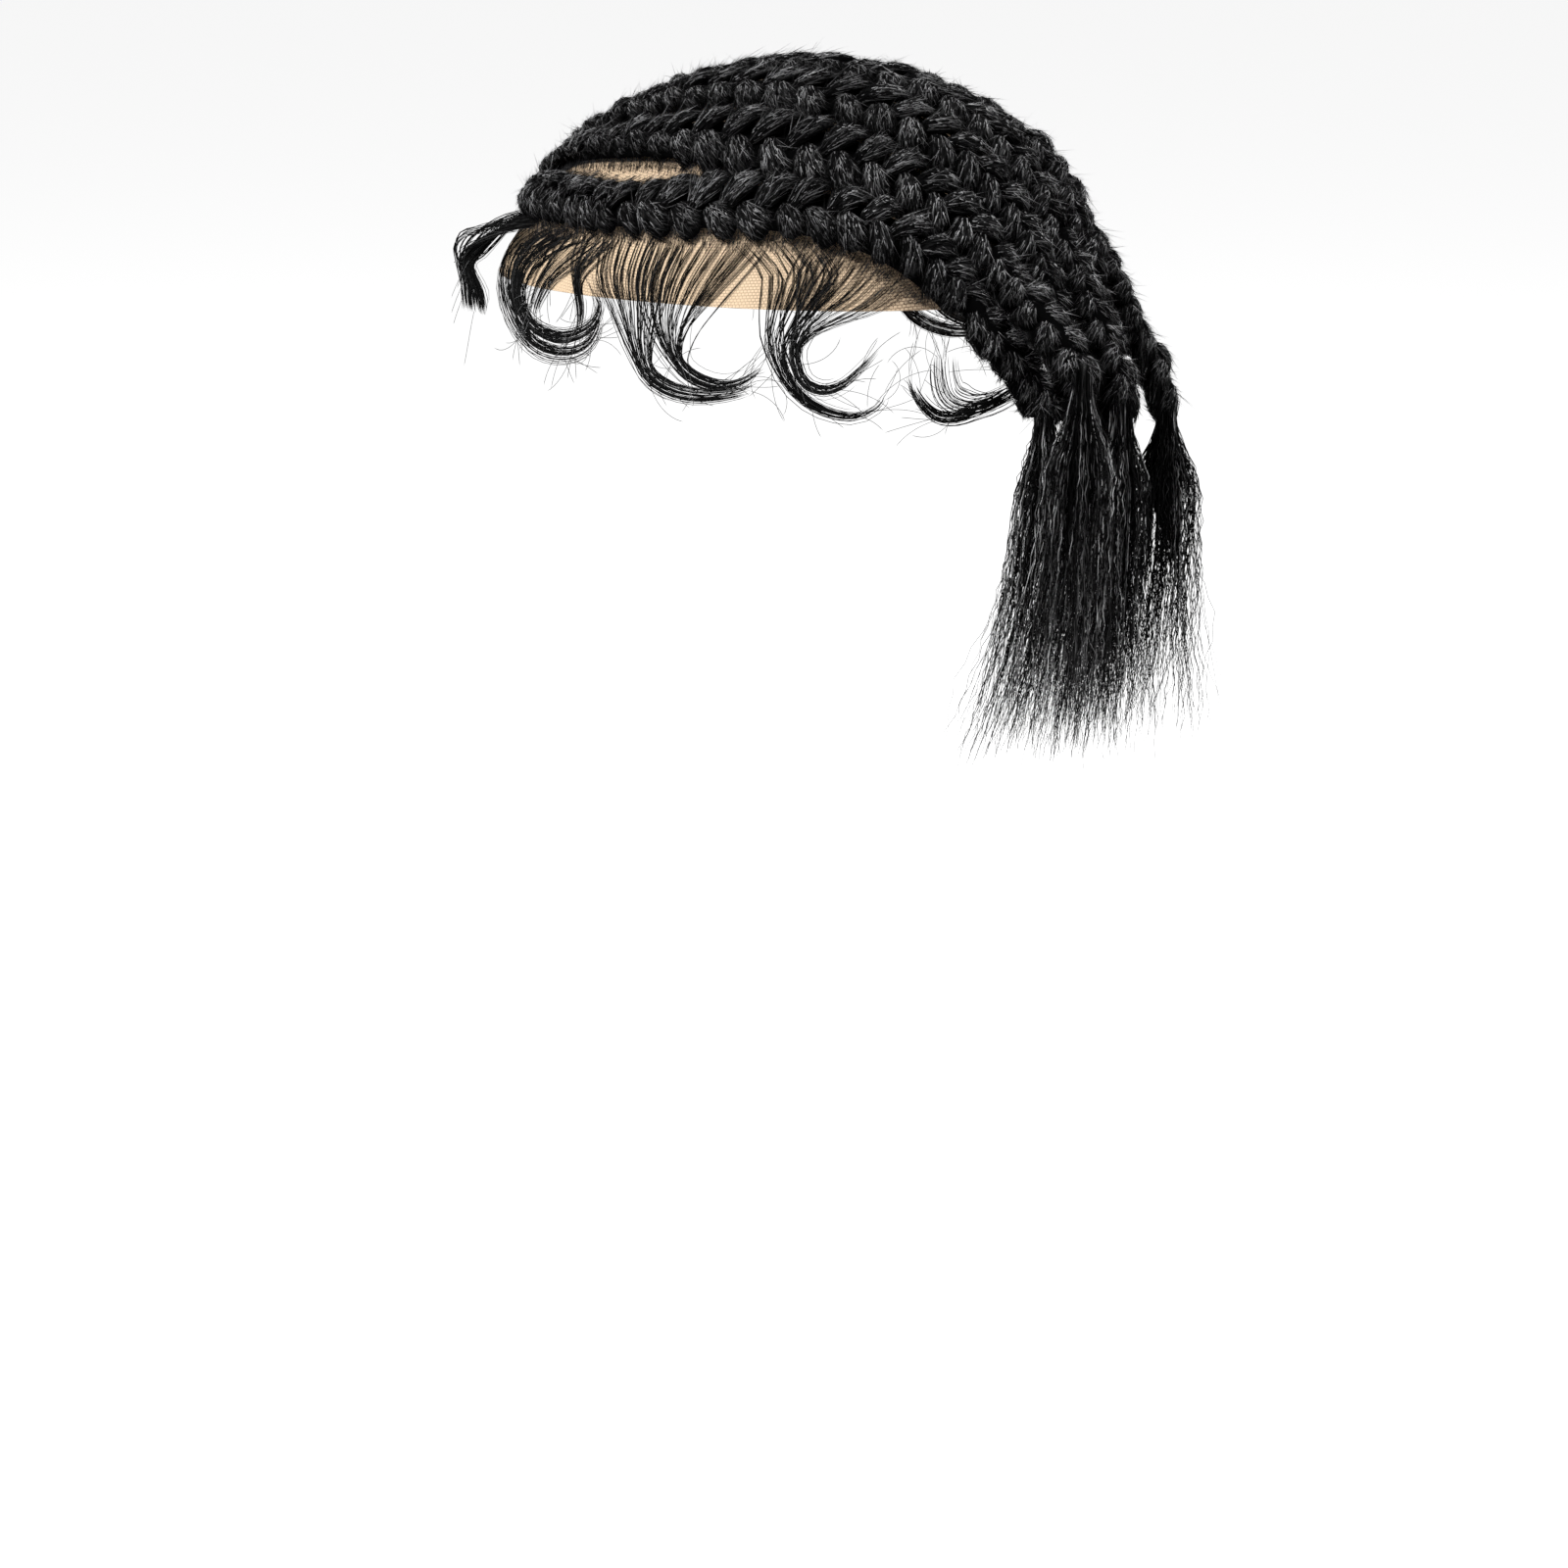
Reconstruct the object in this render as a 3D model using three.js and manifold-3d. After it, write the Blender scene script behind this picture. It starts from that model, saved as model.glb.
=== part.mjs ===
// Cornrow toupee: a lace base shaped to the head, seven braided rows, their loose tails and the
// swept edge curls. Millimetres, +Z up, front towards -Y, the wearer's left towards +X.
// The origin is the crown of the hollow, where the base sits on the head.
import * as THREE from 'three';
import Module from 'manifold-3d';

const wasm = await Module();
wasm.setup();

// Head form under the base: a rounded dome whose crown lies behind its middle
const HALF_BREADTH = 77;
const HALF_LENGTH = 97;
const DOME_HEIGHT = 96;
const DOME_POWER = 2.15;
const CROWN_SHIFT = 12;

// Lace base
const BASE_WALL = 1.2;
const RIM_Z = -59.5;
const BASE_SEGMENTS = 36;
const BASE_RINGS = 8;

// Braids
const ROW_SEAT = BASE_WALL + 0.7;
const TAIL_GAP = 0.45;
const ROW_START = 38;
const NECK_WIDTH = 7.5;
const TAIL_WIDTH = 12;
const TAIL_PITCH = 9;

// Loose brush below each neck
const LOCKS = 5;
const LOCK_RINGS = 6;
const LOCK_SIDES = 6;

// Edge curls
const CURL_THICK = 1.6;
const CURL_SEAT = BASE_WALL + 0.6;
const CURL_RINGS = 12;

// Along every row, by angle from the brow over the crown to the nape (degrees): the angle of the
// outermost row from the middle plane, the width, height and lobe pitch of a row, and how far the hair
// stays short of a row's edge at the hairline, below the part and above it, negative where it is past it
const ROW_TABLE = [
  { over: 38, aside: 16.4, width: 8.2, height: 6.2, pitch: 5.4, hairline: -1.4, below: 0, above: 3 },
  { over: 44, aside: 24, width: 10.4, height: 6.8, pitch: 5.8, hairline: -4.4, below: -1, above: 3.8 },
  { over: 50, aside: 31, width: 13, height: 6.8, pitch: 6.2, hairline: -3.8, below: -0.6, above: 4.4 },
  { over: 64, aside: 41.5, width: 17.6, height: 6.4, pitch: 7.4, hairline: 0.6, below: 0, above: 3.6 },
  { over: 80, aside: 45.5, width: 20.6, height: 6, pitch: 9.4, hairline: 3.6, below: 0, above: 1.6 },
  { over: 96, aside: 45.7, width: 23.2, height: 6, pitch: 10.8, hairline: 5, below: 0.6, above: 0.4 },
  { over: 108, aside: 43.2, width: 22.8, height: 6.4, pitch: 11.2, hairline: 4.6, below: 0.8, above: 0 },
  { over: 120, aside: 38.8, width: 20.4, height: 7.4, pitch: 10.8, hairline: 2.6, below: 0.4, above: 0 },
  { over: 132, aside: 33.2, width: 17.2, height: 9.6, pitch: 10.2, hairline: 0.4, below: 0, above: 0 },
  { over: 144, aside: 28.2, width: 15, height: 10, pitch: 9.4, hairline: 0, below: 0, above: 0 },
  { over: 157, aside: 23.4, width: 12.3, height: 10, pitch: 8.8, hairline: 0, below: 0, above: 0 },
];

// Rows: share of the outermost row's angle, the angle over the head where the row leaves the base,
// the neck where its plait is tied off, and the tip and girth of the loose brush below the neck
const ROWS = [
  { name: 'left_side', share: 1, end: 157, neck: [19, 88.5, -97], tip: [30, 76, -193], girth: 12.5 },
  { name: 'left_mid', share: 2 / 3, end: 150, neck: [28.5, 105.5, -85], tip: [29, 97, -186], girth: 16 },
  { name: 'left_top', share: 1 / 3, end: 157, neck: [9, 94, -98], tip: [11, 86, -184], girth: 12 },
  { name: 'centre', share: 0, end: 150, neck: [2.5, 105.5, -98], tip: [6, 100, -186], girth: 14.5 },
  { name: 'right_top', share: -1 / 3, end: 157, neck: [-7.5, 96, -98], tip: [-9, 89, -183], girth: 12 },
  { name: 'right_mid', share: -2 / 3, end: 150, neck: [-24, 107, -101], tip: [-26, 102, -188], girth: 17 },
  { name: 'right_side', share: -1, end: 157, neck: [-19, 88.5, -97], tip: [-26, 82, -184], girth: 14 },
];

// Edge curls of the left side. Each band runs from its root fan to a hooked tip: angle around the
// head from the brow (degrees), drop below the crown, rise off the head form, and band width. A band
// on edge has its width outward from the head
const CURLS = [
  {
    name: 'brow',
    onEdge: true,
    bands: [[
      { around: 28, drop: 41, rise: 3.4, width: 3 },
      { around: 28, drop: 42.5, rise: 9, width: 6.5 },
      { around: 28, drop: 44.5, rise: 13, width: 8 },
      { around: 28, drop: 50, rise: 13, width: 8 },
      { around: 28, drop: 56, rise: 10, width: 6.5 },
      { around: 28, drop: 62, rise: 6.5, width: 6 },
      { around: 28, drop: 66.5, rise: 5, width: 6 },
      { around: 28, drop: 71, rise: 4.6, width: 5.5 },
    ]],
  },
  {
    name: 'temple',
    bands: [[
      { around: 54, drop: 44.5, rise: 1.8, width: 10 },
      { around: 43, drop: 50, rise: 1.8, width: 9 },
      { around: 40, drop: 59, rise: 1.8, width: 8 },
      { around: 44, drop: 69, rise: 1.8, width: 7.5 },
      { around: 52, drop: 75, rise: 1.8, width: 7 },
      { around: 62, drop: 77, rise: 1.8, width: 6.5 },
      { around: 71, drop: 73, rise: 1.8, width: 5.5 },
      { around: 74, drop: 66, rise: 1.8, width: 3.5 },
      { around: 71, drop: 59.5, rise: 1.8, width: 1.6 },
    ]],
  },
  {
    name: 'side',
    bands: [
      [
        { around: 77, drop: 45.2, rise: 1.8, width: 10 },
        { around: 79, drop: 55, rise: 1.8, width: 7.5 },
        { around: 84, drop: 66, rise: 1.8, width: 6 },
        { around: 88, drop: 76, rise: 1.8, width: 5 },
        { around: 95, drop: 82, rise: 1.8, width: 4.5 },
        { around: 104, drop: 83, rise: 1.8, width: 4 },
        { around: 116, drop: 82.5, rise: 1.8, width: 1.6 },
      ],
      [
        { around: 94, drop: 44.3, rise: 1.8, width: 13 },
        { around: 93, drop: 54, rise: 1.8, width: 9 },
        { around: 93, drop: 63, rise: 1.8, width: 7 },
        { around: 95, drop: 72, rise: 1.8, width: 6 },
        { around: 100, drop: 78, rise: 1.8, width: 5 },
        { around: 108, drop: 80, rise: 1.8, width: 4 },
        { around: 115, drop: 75, rise: 1.8, width: 1.6 },
      ],
    ],
  },
  {
    name: 'ear',
    bands: [
      [
        { around: 117, drop: 44.5, rise: 1.8, width: 9 },
        { around: 122, drop: 51, rise: 1.8, width: 7 },
        { around: 120, drop: 60, rise: 1.8, width: 6 },
        { around: 119.5, drop: 68, rise: 1.8, width: 6 },
        { around: 121, drop: 77, rise: 1.8, width: 5.5 },
        { around: 126, drop: 85.5, rise: 1.8, width: 4 },
        { around: 137, drop: 89, rise: 1.8, width: 1.6 },
      ],
      [
        { around: 135, drop: 48.5, rise: 1.8, width: 10 },
        { around: 131, drop: 55, rise: 1.8, width: 7 },
        { around: 125, drop: 61, rise: 1.8, width: 6 },
        { around: 122.5, drop: 68, rise: 1.8, width: 5.5 },
        { around: 124, drop: 77, rise: 1.8, width: 5 },
        { around: 130, drop: 80.5, rise: 1.8, width: 4 },
        { around: 135, drop: 76, rise: 1.8, width: 3 },
        { around: 139, drop: 69, rise: 1.6, width: 1.6 },
      ],
    ],
  },
  {
    name: 'nape',
    bands: [[
      { around: 163, drop: 86.5, rise: 1.8, width: 5.5 },
      { around: 159, drop: 90, rise: 1.8, width: 6 },
      { around: 154, drop: 91, rise: 1.8, width: 5.5 },
      { around: 150, drop: 88.5, rise: 1.8, width: 4 },
      { around: 147.5, drop: 84, rise: 1.8, width: 3 },
      { around: 146, drop: 78, rise: 1.8, width: 1.6 },
    ]],
  },
];

const hair = { colour: 0x0b0b0c, roughness: 0.5 };
const lace = { colour: 0xb08d68, roughness: 0.85 };

// Value of a table column at a given key, eased smoothly between its rows
function lookUp(table, key, column, at) {
  let i = 0;
  while (i < table.length - 2 && table[i + 1][key] <= at) i += 1;
  const slope = (k) => {
    const before = table[Math.max(k - 1, 0)];
    const after = table[Math.min(k + 1, table.length - 1)];
    return (after[column] - before[column]) / (after[key] - before[key]);
  };
  const span = table[i + 1][key] - table[i][key];
  const t = THREE.MathUtils.clamp((at - table[i][key]) / span, 0, 1);
  const blend = t * t * (3 - 2 * t);
  const leave = span * slope(i) * t * (1 - t) * (1 - t);
  const arrive = span * slope(i + 1) * t * t * (1 - t);
  return table[i][column] * (1 - blend) + table[i + 1][column] * blend + leave - arrive;
}

// Point in a direction from the middle of the head, a given rise outside the head form
function headPoint(direction, rise) {
  const share = (value, half) => Math.abs(value / (half + rise)) ** DOME_POWER;
  const sum = share(direction.x, HALF_BREADTH) + share(direction.y, HALF_LENGTH)
    + share(direction.z, DOME_HEIGHT);
  const point = direction.clone().multiplyScalar(sum ** (-1 / DOME_POWER));
  const high = Math.max(point.z, 0) / (DOME_HEIGHT + rise);
  point.y += CROWN_SHIFT * (high * high - 1);
  point.z -= DOME_HEIGHT;
  return point;
}

// The point straight out from the middle of the head through a given one, at a given rise
function onHead(point, rise) {
  const up = point.z + DOME_HEIGHT;
  const high = Math.max(up, 0) / (DOME_HEIGHT + rise);
  const back = point.y - CROWN_SHIFT * (high * high - 1);
  return headPoint(new THREE.Vector3(point.x, back, up).normalize(), rise);
}

// Place on the head by angle around it from the brow and drop below the crown
function aroundHead(degrees, drop, rise) {
  const angle = THREE.MathUtils.degToRad(degrees);
  const up = DOME_HEIGHT - drop;
  const share = (value, half) => Math.abs(value / (half + rise)) ** DOME_POWER;
  const level = share(Math.sin(angle), HALF_BREADTH) + share(Math.cos(angle), HALF_LENGTH);
  const reach = ((1 - share(up, DOME_HEIGHT)) / level) ** (1 / DOME_POWER);
  const flat = new THREE.Vector3(reach * Math.sin(angle), -reach * Math.cos(angle), up);
  return headPoint(flat.normalize(), rise);
}

// Place on a row by angle over the head
function rowPoint(share, over, rise) {
  const aside = THREE.MathUtils.degToRad(share * lookUp(ROW_TABLE, 'over', 'aside', over));
  const angle = THREE.MathUtils.degToRad(over);
  const direction = new THREE.Vector3(
    Math.sin(aside),
    -Math.cos(aside) * Math.cos(angle),
    Math.cos(aside) * Math.sin(angle),
  );
  return headPoint(direction, rise);
}

// Closed skin over a run of rings, each an equal loop of points, faced outward
function loft(rings) {
  const sides = rings[0].length;
  const points = rings.flat();
  const triangles = [];
  for (let r = 0; r < rings.length - 1; r += 1) {
    for (let s = 0; s < sides; s += 1) {
      const a = r * sides + s;
      const b = r * sides + (s + 1) % sides;
      triangles.push([a, b, b + sides], [a, b + sides, a + sides]);
    }
  }
  const last = (rings.length - 1) * sides;
  for (let s = 1; s < sides - 1; s += 1) {
    triangles.push([0, s + 1, s], [last, last + s, last + s + 1]);
  }
  return faceOut(points, triangles);
}

// Turns every triangle over if the skin encloses a negative volume
function faceOut(points, triangles) {
  const volume = triangles.reduce(
    (sum, [a, b, c]) => sum + points[a].dot(points[b].clone().cross(points[c])),
    0,
  );
  const turned = volume < 0 ? triangles.map(([a, b, c]) => [a, c, b]) : triangles;
  return { points, triangles: turned };
}

function toSolid(skin) {
  return new wasm.Manifold(new wasm.Mesh({
    numProp: 3,
    vertProperties: Float32Array.from(skin.points.flatMap((p) => p.toArray())),
    triVerts: Uint32Array.from(skin.triangles.flat()),
  }));
}

// One solid from skins that run into each other
function fuse(skins) {
  const mesh = skins.map(toSolid).reduce((whole, piece) => whole.add(piece)).getMesh();
  const points = [];
  for (let i = 0; i < mesh.vertProperties.length; i += mesh.numProp) {
    points.push(new THREE.Vector3().fromArray(mesh.vertProperties, i));
  }
  const triangles = [];
  for (let i = 0; i < mesh.triVerts.length; i += 3) {
    triangles.push([mesh.triVerts[i], mesh.triVerts[i + 1], mesh.triVerts[i + 2]]);
  }
  return { points, triangles };
}

function toMesh(name, skin, finish) {
  const geometry = new THREE.BufferGeometry();
  const places = skin.points.flatMap((p) => p.toArray());
  geometry.setAttribute('position', new THREE.Float32BufferAttribute(places, 3));
  geometry.setIndex(skin.triangles.flat());
  geometry.computeVertexNormals();
  const mesh = new THREE.Mesh(geometry, new THREE.MeshStandardMaterial({
    color: finish.colour,
    roughness: finish.roughness,
    metalness: 0,
  }));
  mesh.name = name;
  return mesh;
}

// The same skin on the other side of the middle plane
function mirrored(skin) {
  const points = skin.points.map((p) => new THREE.Vector3(-p.x, p.y, p.z));
  return { points, triangles: skin.triangles.map(([a, b, c]) => [a, c, b]) };
}

// Dome wall from the crown down to the level rim, hollow below
function laceBase() {
  const ring = (drop, rise) => Array.from({ length: BASE_SEGMENTS }, (_, s) => (
    aroundHead(s * 360 / BASE_SEGMENTS, drop, rise)
  ));
  const levels = Array.from({ length: BASE_RINGS }, (_, r) => (
    -RIM_Z * Math.sin(((r + 1) / BASE_RINGS) * Math.PI / 2) ** 2
  ));
  const outer = levels.map((drop) => ring(drop, BASE_WALL));
  const inner = levels.map((drop) => ring(drop, 0)).reverse();
  const crown = new THREE.Vector3(0, 0, BASE_WALL);
  const seat = new THREE.Vector3(0, 0, 0);
  return closedByPoles(crown, [...outer, ...inner], seat);
}

// Closed skin over rings that end in one point at each end
function closedByPoles(first, rings, last) {
  const sides = rings[0].length;
  const points = [first, ...rings.flat(), last];
  const triangles = [];
  const end = points.length - 1;
  const tail = end - sides;
  for (let s = 0; s < sides; s += 1) {
    const next = (s + 1) % sides;
    triangles.push([0, 1 + s, 1 + next], [end, tail + next, tail + s]);
    for (let r = 0; r < rings.length - 1; r += 1) {
      const a = 1 + r * sides + s;
      const b = 1 + r * sides + next;
      triangles.push([a, a + sides, b + sides], [a, b + sides, b]);
    }
  }
  return faceOut(points, triangles);
}

// Outline of a plait across its run: offsets to the side, upward, and lag behind the middle.
// The lobes of the two columns swell by turns, and a groove runs between them
function plaitOutline(leftHalf, rightHalf, height, leftFull, rightFull, lag) {
  const swell = (full) => 0.84 + 0.16 * full;
  const left = leftHalf * swell(leftFull);
  const right = rightHalf * swell(rightFull);
  return [
    { aside: -0.6 * leftHalf, up: 0, along: -lag },
    { aside: 0.6 * rightHalf, up: 0, along: -lag },
    { aside: right, up: 0.4 * height, along: -lag },
    { aside: 0.62 * right, up: height * swell(rightFull), along: -0.4 * lag },
    { aside: 0, up: 0.8 * height, along: 0.4 * lag },
    { aside: -0.62 * left, up: height * swell(leftFull), along: -0.4 * lag },
    { aside: -left, up: 0.4 * height, along: -lag },
  ];
}

// Angles over the head at which a row's lobes and the hollows between them stand
function rowStations(row) {
  const stations = [ROW_START];
  let over = ROW_START;
  while (over < row.end) {
    const reach = rowPoint(row.share, over + 1, 0).distanceTo(rowPoint(row.share, over, 0));
    over += lookUp(ROW_TABLE, 'over', 'pitch', over) / 2 / reach;
    stations.push(over);
  }
  stations[stations.length - 1] = row.end;
  return stations;
}

function rowAxes(row, over) {
  const middle = rowPoint(row.share, over, 0);
  const along = rowPoint(row.share, over + 0.5, 0).sub(rowPoint(row.share, over - 0.5, 0)).normalize();
  const up = onHead(middle, 1).sub(middle);
  up.addScaledVector(along, -up.dot(along)).normalize();
  const aside = along.clone().cross(up);
  return { middle, along, up, aside };
}

// How far a row stays short of its outer and its inner edge
function rowTrims(row, over) {
  const trim = (column) => lookUp(ROW_TABLE, 'over', column, over);
  if (Math.abs(row.share) === 1) {
    return { outer: trim('hairline'), inner: trim('below') };
  }
  return { outer: Math.abs(row.share) > 0.5 ? trim('above') : 0, inner: 0 };
}

// The stretch of a braid that lies on the base, from its thin start at the hairline
function cornrow(row) {
  const stations = rowStations(row);
  const rings = stations.map((over, i) => {
    const { middle, along, aside } = rowAxes(row, over);
    const atEnd = i === 0 || i === stations.length - 1;
    const shrink = i === 0 ? 0.6 : 1;
    const half = lookUp(ROW_TABLE, 'over', 'width', over) / 2;
    const height = shrink * lookUp(ROW_TABLE, 'over', 'height', over);
    const lag = atEnd ? 0 : 0.22 * lookUp(ROW_TABLE, 'over', 'pitch', over);
    const { outer, inner } = rowTrims(row, over);
    const left = shrink * (half - (row.share < 0 ? outer : inner));
    const right = shrink * (half - (row.share < 0 ? inner : outer));
    return plaitOutline(left, right, height, i % 2, (i + 1) % 2, lag).map((place) => {
      const flat = middle.clone().addScaledVector(aside, place.aside).addScaledVector(along, place.along);
      return onHead(flat, ROW_SEAT + place.up);
    });
  });
  return loft(rings);
}

// Frames carried along a curve without twisting, from a given upward direction at its start
function carriedAxes(curve, count, startUp) {
  const axes = [];
  let up = startUp.clone();
  for (let i = 0; i < count; i += 1) {
    const t = i / (count - 1);
    const along = curve.getTangentAt(t);
    up = up.clone().addScaledVector(along, -up.dot(along)).normalize();
    axes.push({ t, middle: curve.getPointAt(t), along, up, aside: along.clone().cross(up) });
  }
  return axes;
}

// Curve of the free plait from the end of its row to the neck
function plaitCurve(row) {
  const { middle, along, up } = rowAxes(row, row.end);
  const height = lookUp(ROW_TABLE, 'over', 'height', row.end);
  const seat = onHead(middle, ROW_SEAT);
  const start = seat.addScaledVector(up, height / 2).addScaledVector(along, TAIL_GAP);
  const neck = new THREE.Vector3(...row.neck);
  const reach = start.distanceTo(neck) / 3;
  const leave = start.clone().addScaledVector(along, reach);
  const arrive = neck.clone().add(new THREE.Vector3(0, 0, reach));
  return { curve: new THREE.CubicBezierCurve3(start, leave, arrive, neck), up };
}

function freePlait(row) {
  const { curve, up } = plaitCurve(row);
  const count = 2 * Math.round(curve.getLength() / TAIL_PITCH) + 1;
  const startWidth = lookUp(ROW_TABLE, 'over', 'width', row.end);
  const startHeight = lookUp(ROW_TABLE, 'over', 'height', row.end);
  const rings = carriedAxes(curve, count, up).map((axes, i) => {
    const ease = Math.min(axes.t * 3, 1);
    const tie = Math.max(axes.t * 4 - 3, 0);
    const full = THREE.MathUtils.lerp(startWidth, TAIL_WIDTH, ease);
    const width = THREE.MathUtils.lerp(full, NECK_WIDTH, tie);
    const tall = THREE.MathUtils.lerp(startHeight, TAIL_WIDTH * 0.9, ease);
    const height = THREE.MathUtils.lerp(tall, NECK_WIDTH, tie);
    const lag = i === 0 || i === count - 1 ? 0 : 0.22 * TAIL_PITCH;
    return plaitOutline(width / 2, width / 2, height, i % 2, (i + 1) % 2, lag).map((place) => (
      axes.middle.clone()
        .addScaledVector(axes.aside, place.aside)
        .addScaledVector(axes.up, place.up - height / 2)
        .addScaledVector(axes.along, place.along)
    ));
  });
  return loft(rings);
}

// Pointed locks that spread from the neck and hang down as a brush
function brushLocks(row) {
  const neck = new THREE.Vector3(...row.neck);
  const tip = new THREE.Vector3(...row.tip);
  const locks = [];
  for (let k = 0; k < LOCKS; k += 1) {
    const turn = (k / LOCKS) * Math.PI * 2 + row.share;
    const out = new THREE.Vector3(Math.cos(turn), Math.sin(turn), 0);
    const length = 0.9 + 0.1 * Math.sin(2.4 * k + row.share);
    const rings = [];
    for (let r = 0; r < LOCK_RINGS; r += 1) {
      const t = r / (LOCK_RINGS - 1);
      const swell = Math.sin(Math.min(0.2 + t * 1.6, 1) * Math.PI / 2);
      const middle = neck.clone().lerp(tip, t * t);
      middle.z = neck.z + (tip.z - neck.z) * t * length + 3 * (1 - t);
      middle.addScaledVector(out, row.girth * 0.26 * swell);
      const thick = row.girth * 0.24 * swell * Math.sqrt(1 - 0.98 * t ** 4);
      rings.push(Array.from({ length: LOCK_SIDES }, (_, s) => {
        const angle = (s / LOCK_SIDES) * Math.PI * 2;
        return middle.clone().add(
          new THREE.Vector3(Math.cos(angle), Math.sin(angle), 0).multiplyScalar(thick),
        );
      }));
    }
    locks.push(loft(rings));
  }
  return locks;
}

// Tapered band over the head form through the places of its table, flat or on edge
function curlBand(band, onEdge) {
  const track = new THREE.CatmullRomCurve3(
    band.map((place) => aroundHead(place.around, place.drop, place.rise)),
  );
  const rings = [];
  for (let r = 0; r < CURL_RINGS; r += 1) {
    const t = r / (CURL_RINGS - 1);
    const steps = band.map((place, i) => ({ ...place, step: i / (band.length - 1) }));
    const width = lookUp(steps, 'step', 'width', t);
    const rise = Math.max(lookUp(steps, 'step', 'rise', t), CURL_SEAT);
    const middle = track.getPoint(t);
    const along = track.getTangent(t);
    const up = onHead(middle, rise + 1).sub(onHead(middle, rise)).normalize();
    const aside = along.clone().cross(up).normalize();
    const place = (side, lift) => (
      onHead(middle.clone().addScaledVector(aside, side * width / 2), rise + lift)
    );
    const edge = CURL_THICK / width;
    rings.push(onEdge
      ? [place(-edge, -width / 2), place(edge, -width / 2), place(edge, width / 2), place(-edge, width / 2)]
      : [place(-1, 0), place(1, 0), place(0.7, CURL_THICK), place(-0.7, CURL_THICK)]);
  }
  return loft(rings);
}

function curl(bands, onEdge) {
  const skins = bands.map((band) => curlBand(band, onEdge));
  return skins.length > 1 ? fuse(skins) : skins[0];
}

const toupee = new THREE.Group();
toupee.name = 'cornrow_toupee';
toupee.add(toMesh('lace_base', laceBase(), lace));
for (const row of ROWS) {
  toupee.add(toMesh(`cornrow_${row.name}`, cornrow(row), hair));
  toupee.add(toMesh(`tail_${row.name}`, fuse([freePlait(row), ...brushLocks(row)]), hair));
}
for (const { name, bands, onEdge } of CURLS) {
  const skin = curl(bands, onEdge);
  toupee.add(toMesh(`curl_left_${name}`, skin, hair));
  toupee.add(toMesh(`curl_right_${name}`, mirrored(skin), hair));
}

export default toupee;
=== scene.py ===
"""Cornrow toupee: a lace base, seven braided rows with loose tails, and swept edge curls.

The tables and the shaping are in millimetres, +Z up, front towards -Y, the wearer's left towards +X.
Meshes are written in metres, in place, so every object sits at the origin.
"""

import math
from collections import namedtuple

import bpy
import numpy as np
from bpy.props import FloatProperty, FloatVectorProperty, IntProperty, PointerProperty
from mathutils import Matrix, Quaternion, Vector


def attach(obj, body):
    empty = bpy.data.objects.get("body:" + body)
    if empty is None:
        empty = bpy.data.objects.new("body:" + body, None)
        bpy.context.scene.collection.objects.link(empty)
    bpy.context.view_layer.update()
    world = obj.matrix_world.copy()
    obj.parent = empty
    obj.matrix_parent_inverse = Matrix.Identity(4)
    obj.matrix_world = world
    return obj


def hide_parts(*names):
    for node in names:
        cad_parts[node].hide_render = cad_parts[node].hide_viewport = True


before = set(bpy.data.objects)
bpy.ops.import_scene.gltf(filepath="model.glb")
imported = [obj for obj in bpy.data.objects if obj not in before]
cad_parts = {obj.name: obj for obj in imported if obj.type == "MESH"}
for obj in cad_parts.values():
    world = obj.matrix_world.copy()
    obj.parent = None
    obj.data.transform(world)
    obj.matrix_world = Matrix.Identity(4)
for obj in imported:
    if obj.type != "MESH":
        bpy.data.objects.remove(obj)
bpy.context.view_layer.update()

bl_info = {
    "name": "Cornrow toupee",
    "version": (1, 0, 0),
    "blender": (4, 5, 0),
    "location": "View3D > Sidebar > Toupee",
    "description": "Lace base, braided rows, loose tails and edge curls of a cornrow toupee",
    "category": "Add Mesh",
}

MM = 0.001

# Dome that the base lies on, with its crown behind its middle
HALF_BREADTH = 77
HALF_LENGTH = 97
DOME_HEIGHT = 96
DOME_POWER = 2.15
CROWN_SHIFT = 12

# Lace base
BASE_WALL = 1.2
RIM_Z = -59.5

# Braids: height of their beds off the dome, the angle over the dome where they start (degrees), the
# size and pitch of the free plait, and the width of the neck where it is tied off
ROW_SEAT = BASE_WALL + 0.7
ROW_START = 38
TAIL_WIDTH = 12.5
TAIL_HEIGHT = 0.9 * TAIL_WIDTH
TAIL_PITCH = 8.4
NECK_WIDTH = 7.5

# Lobes: how far they reach past the hairline edge and into the next row, how far they stay short of a
# bare part, and the angles over the dome between which rows meet and the part closes (degrees)
HAIRLINE_SPILL = 0.4
LOBE_SPILL = 1.7
PART_INSET = 2
ROWS_MEET = (66, 96)
PART_CLOSES = (80, 100)

# Share of a lobe that is its dark core, and the shares of its run at which it has a ring, closer at its
# blunt ends
CORE_SHARE = 0.86
LOBE_RUN = np.array([0, 0.05, 0.17, 0.33, 0.5, 0.67, 0.83, 0.95, 1])

# Brushes: the level where their longest strands end, and the height of their top above the neck
BRUSH_END = -200
BRUSH_TOP = 3

# Along a lobe from the middle of the braid to its side, as shares: height of its middle on a row, the
# same off the middle of a free plait, its width and its thickness
LobeForm = namedtuple("LobeForm", "run bound free wide thick")
LOBE_FORMS = [
    LobeForm(0, 0.24, 0.03, 0.44, 0.50),
    LobeForm(0.2, 0.54, 0.15, 0.74, 0.84),
    LobeForm(0.45, 0.62, 0.20, 0.98, 1.0),
    LobeForm(0.7, 0.46, 0.13, 1.06, 0.88),
    LobeForm(1, 0.14, 0.0, 0.90, 0.42),
]

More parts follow.
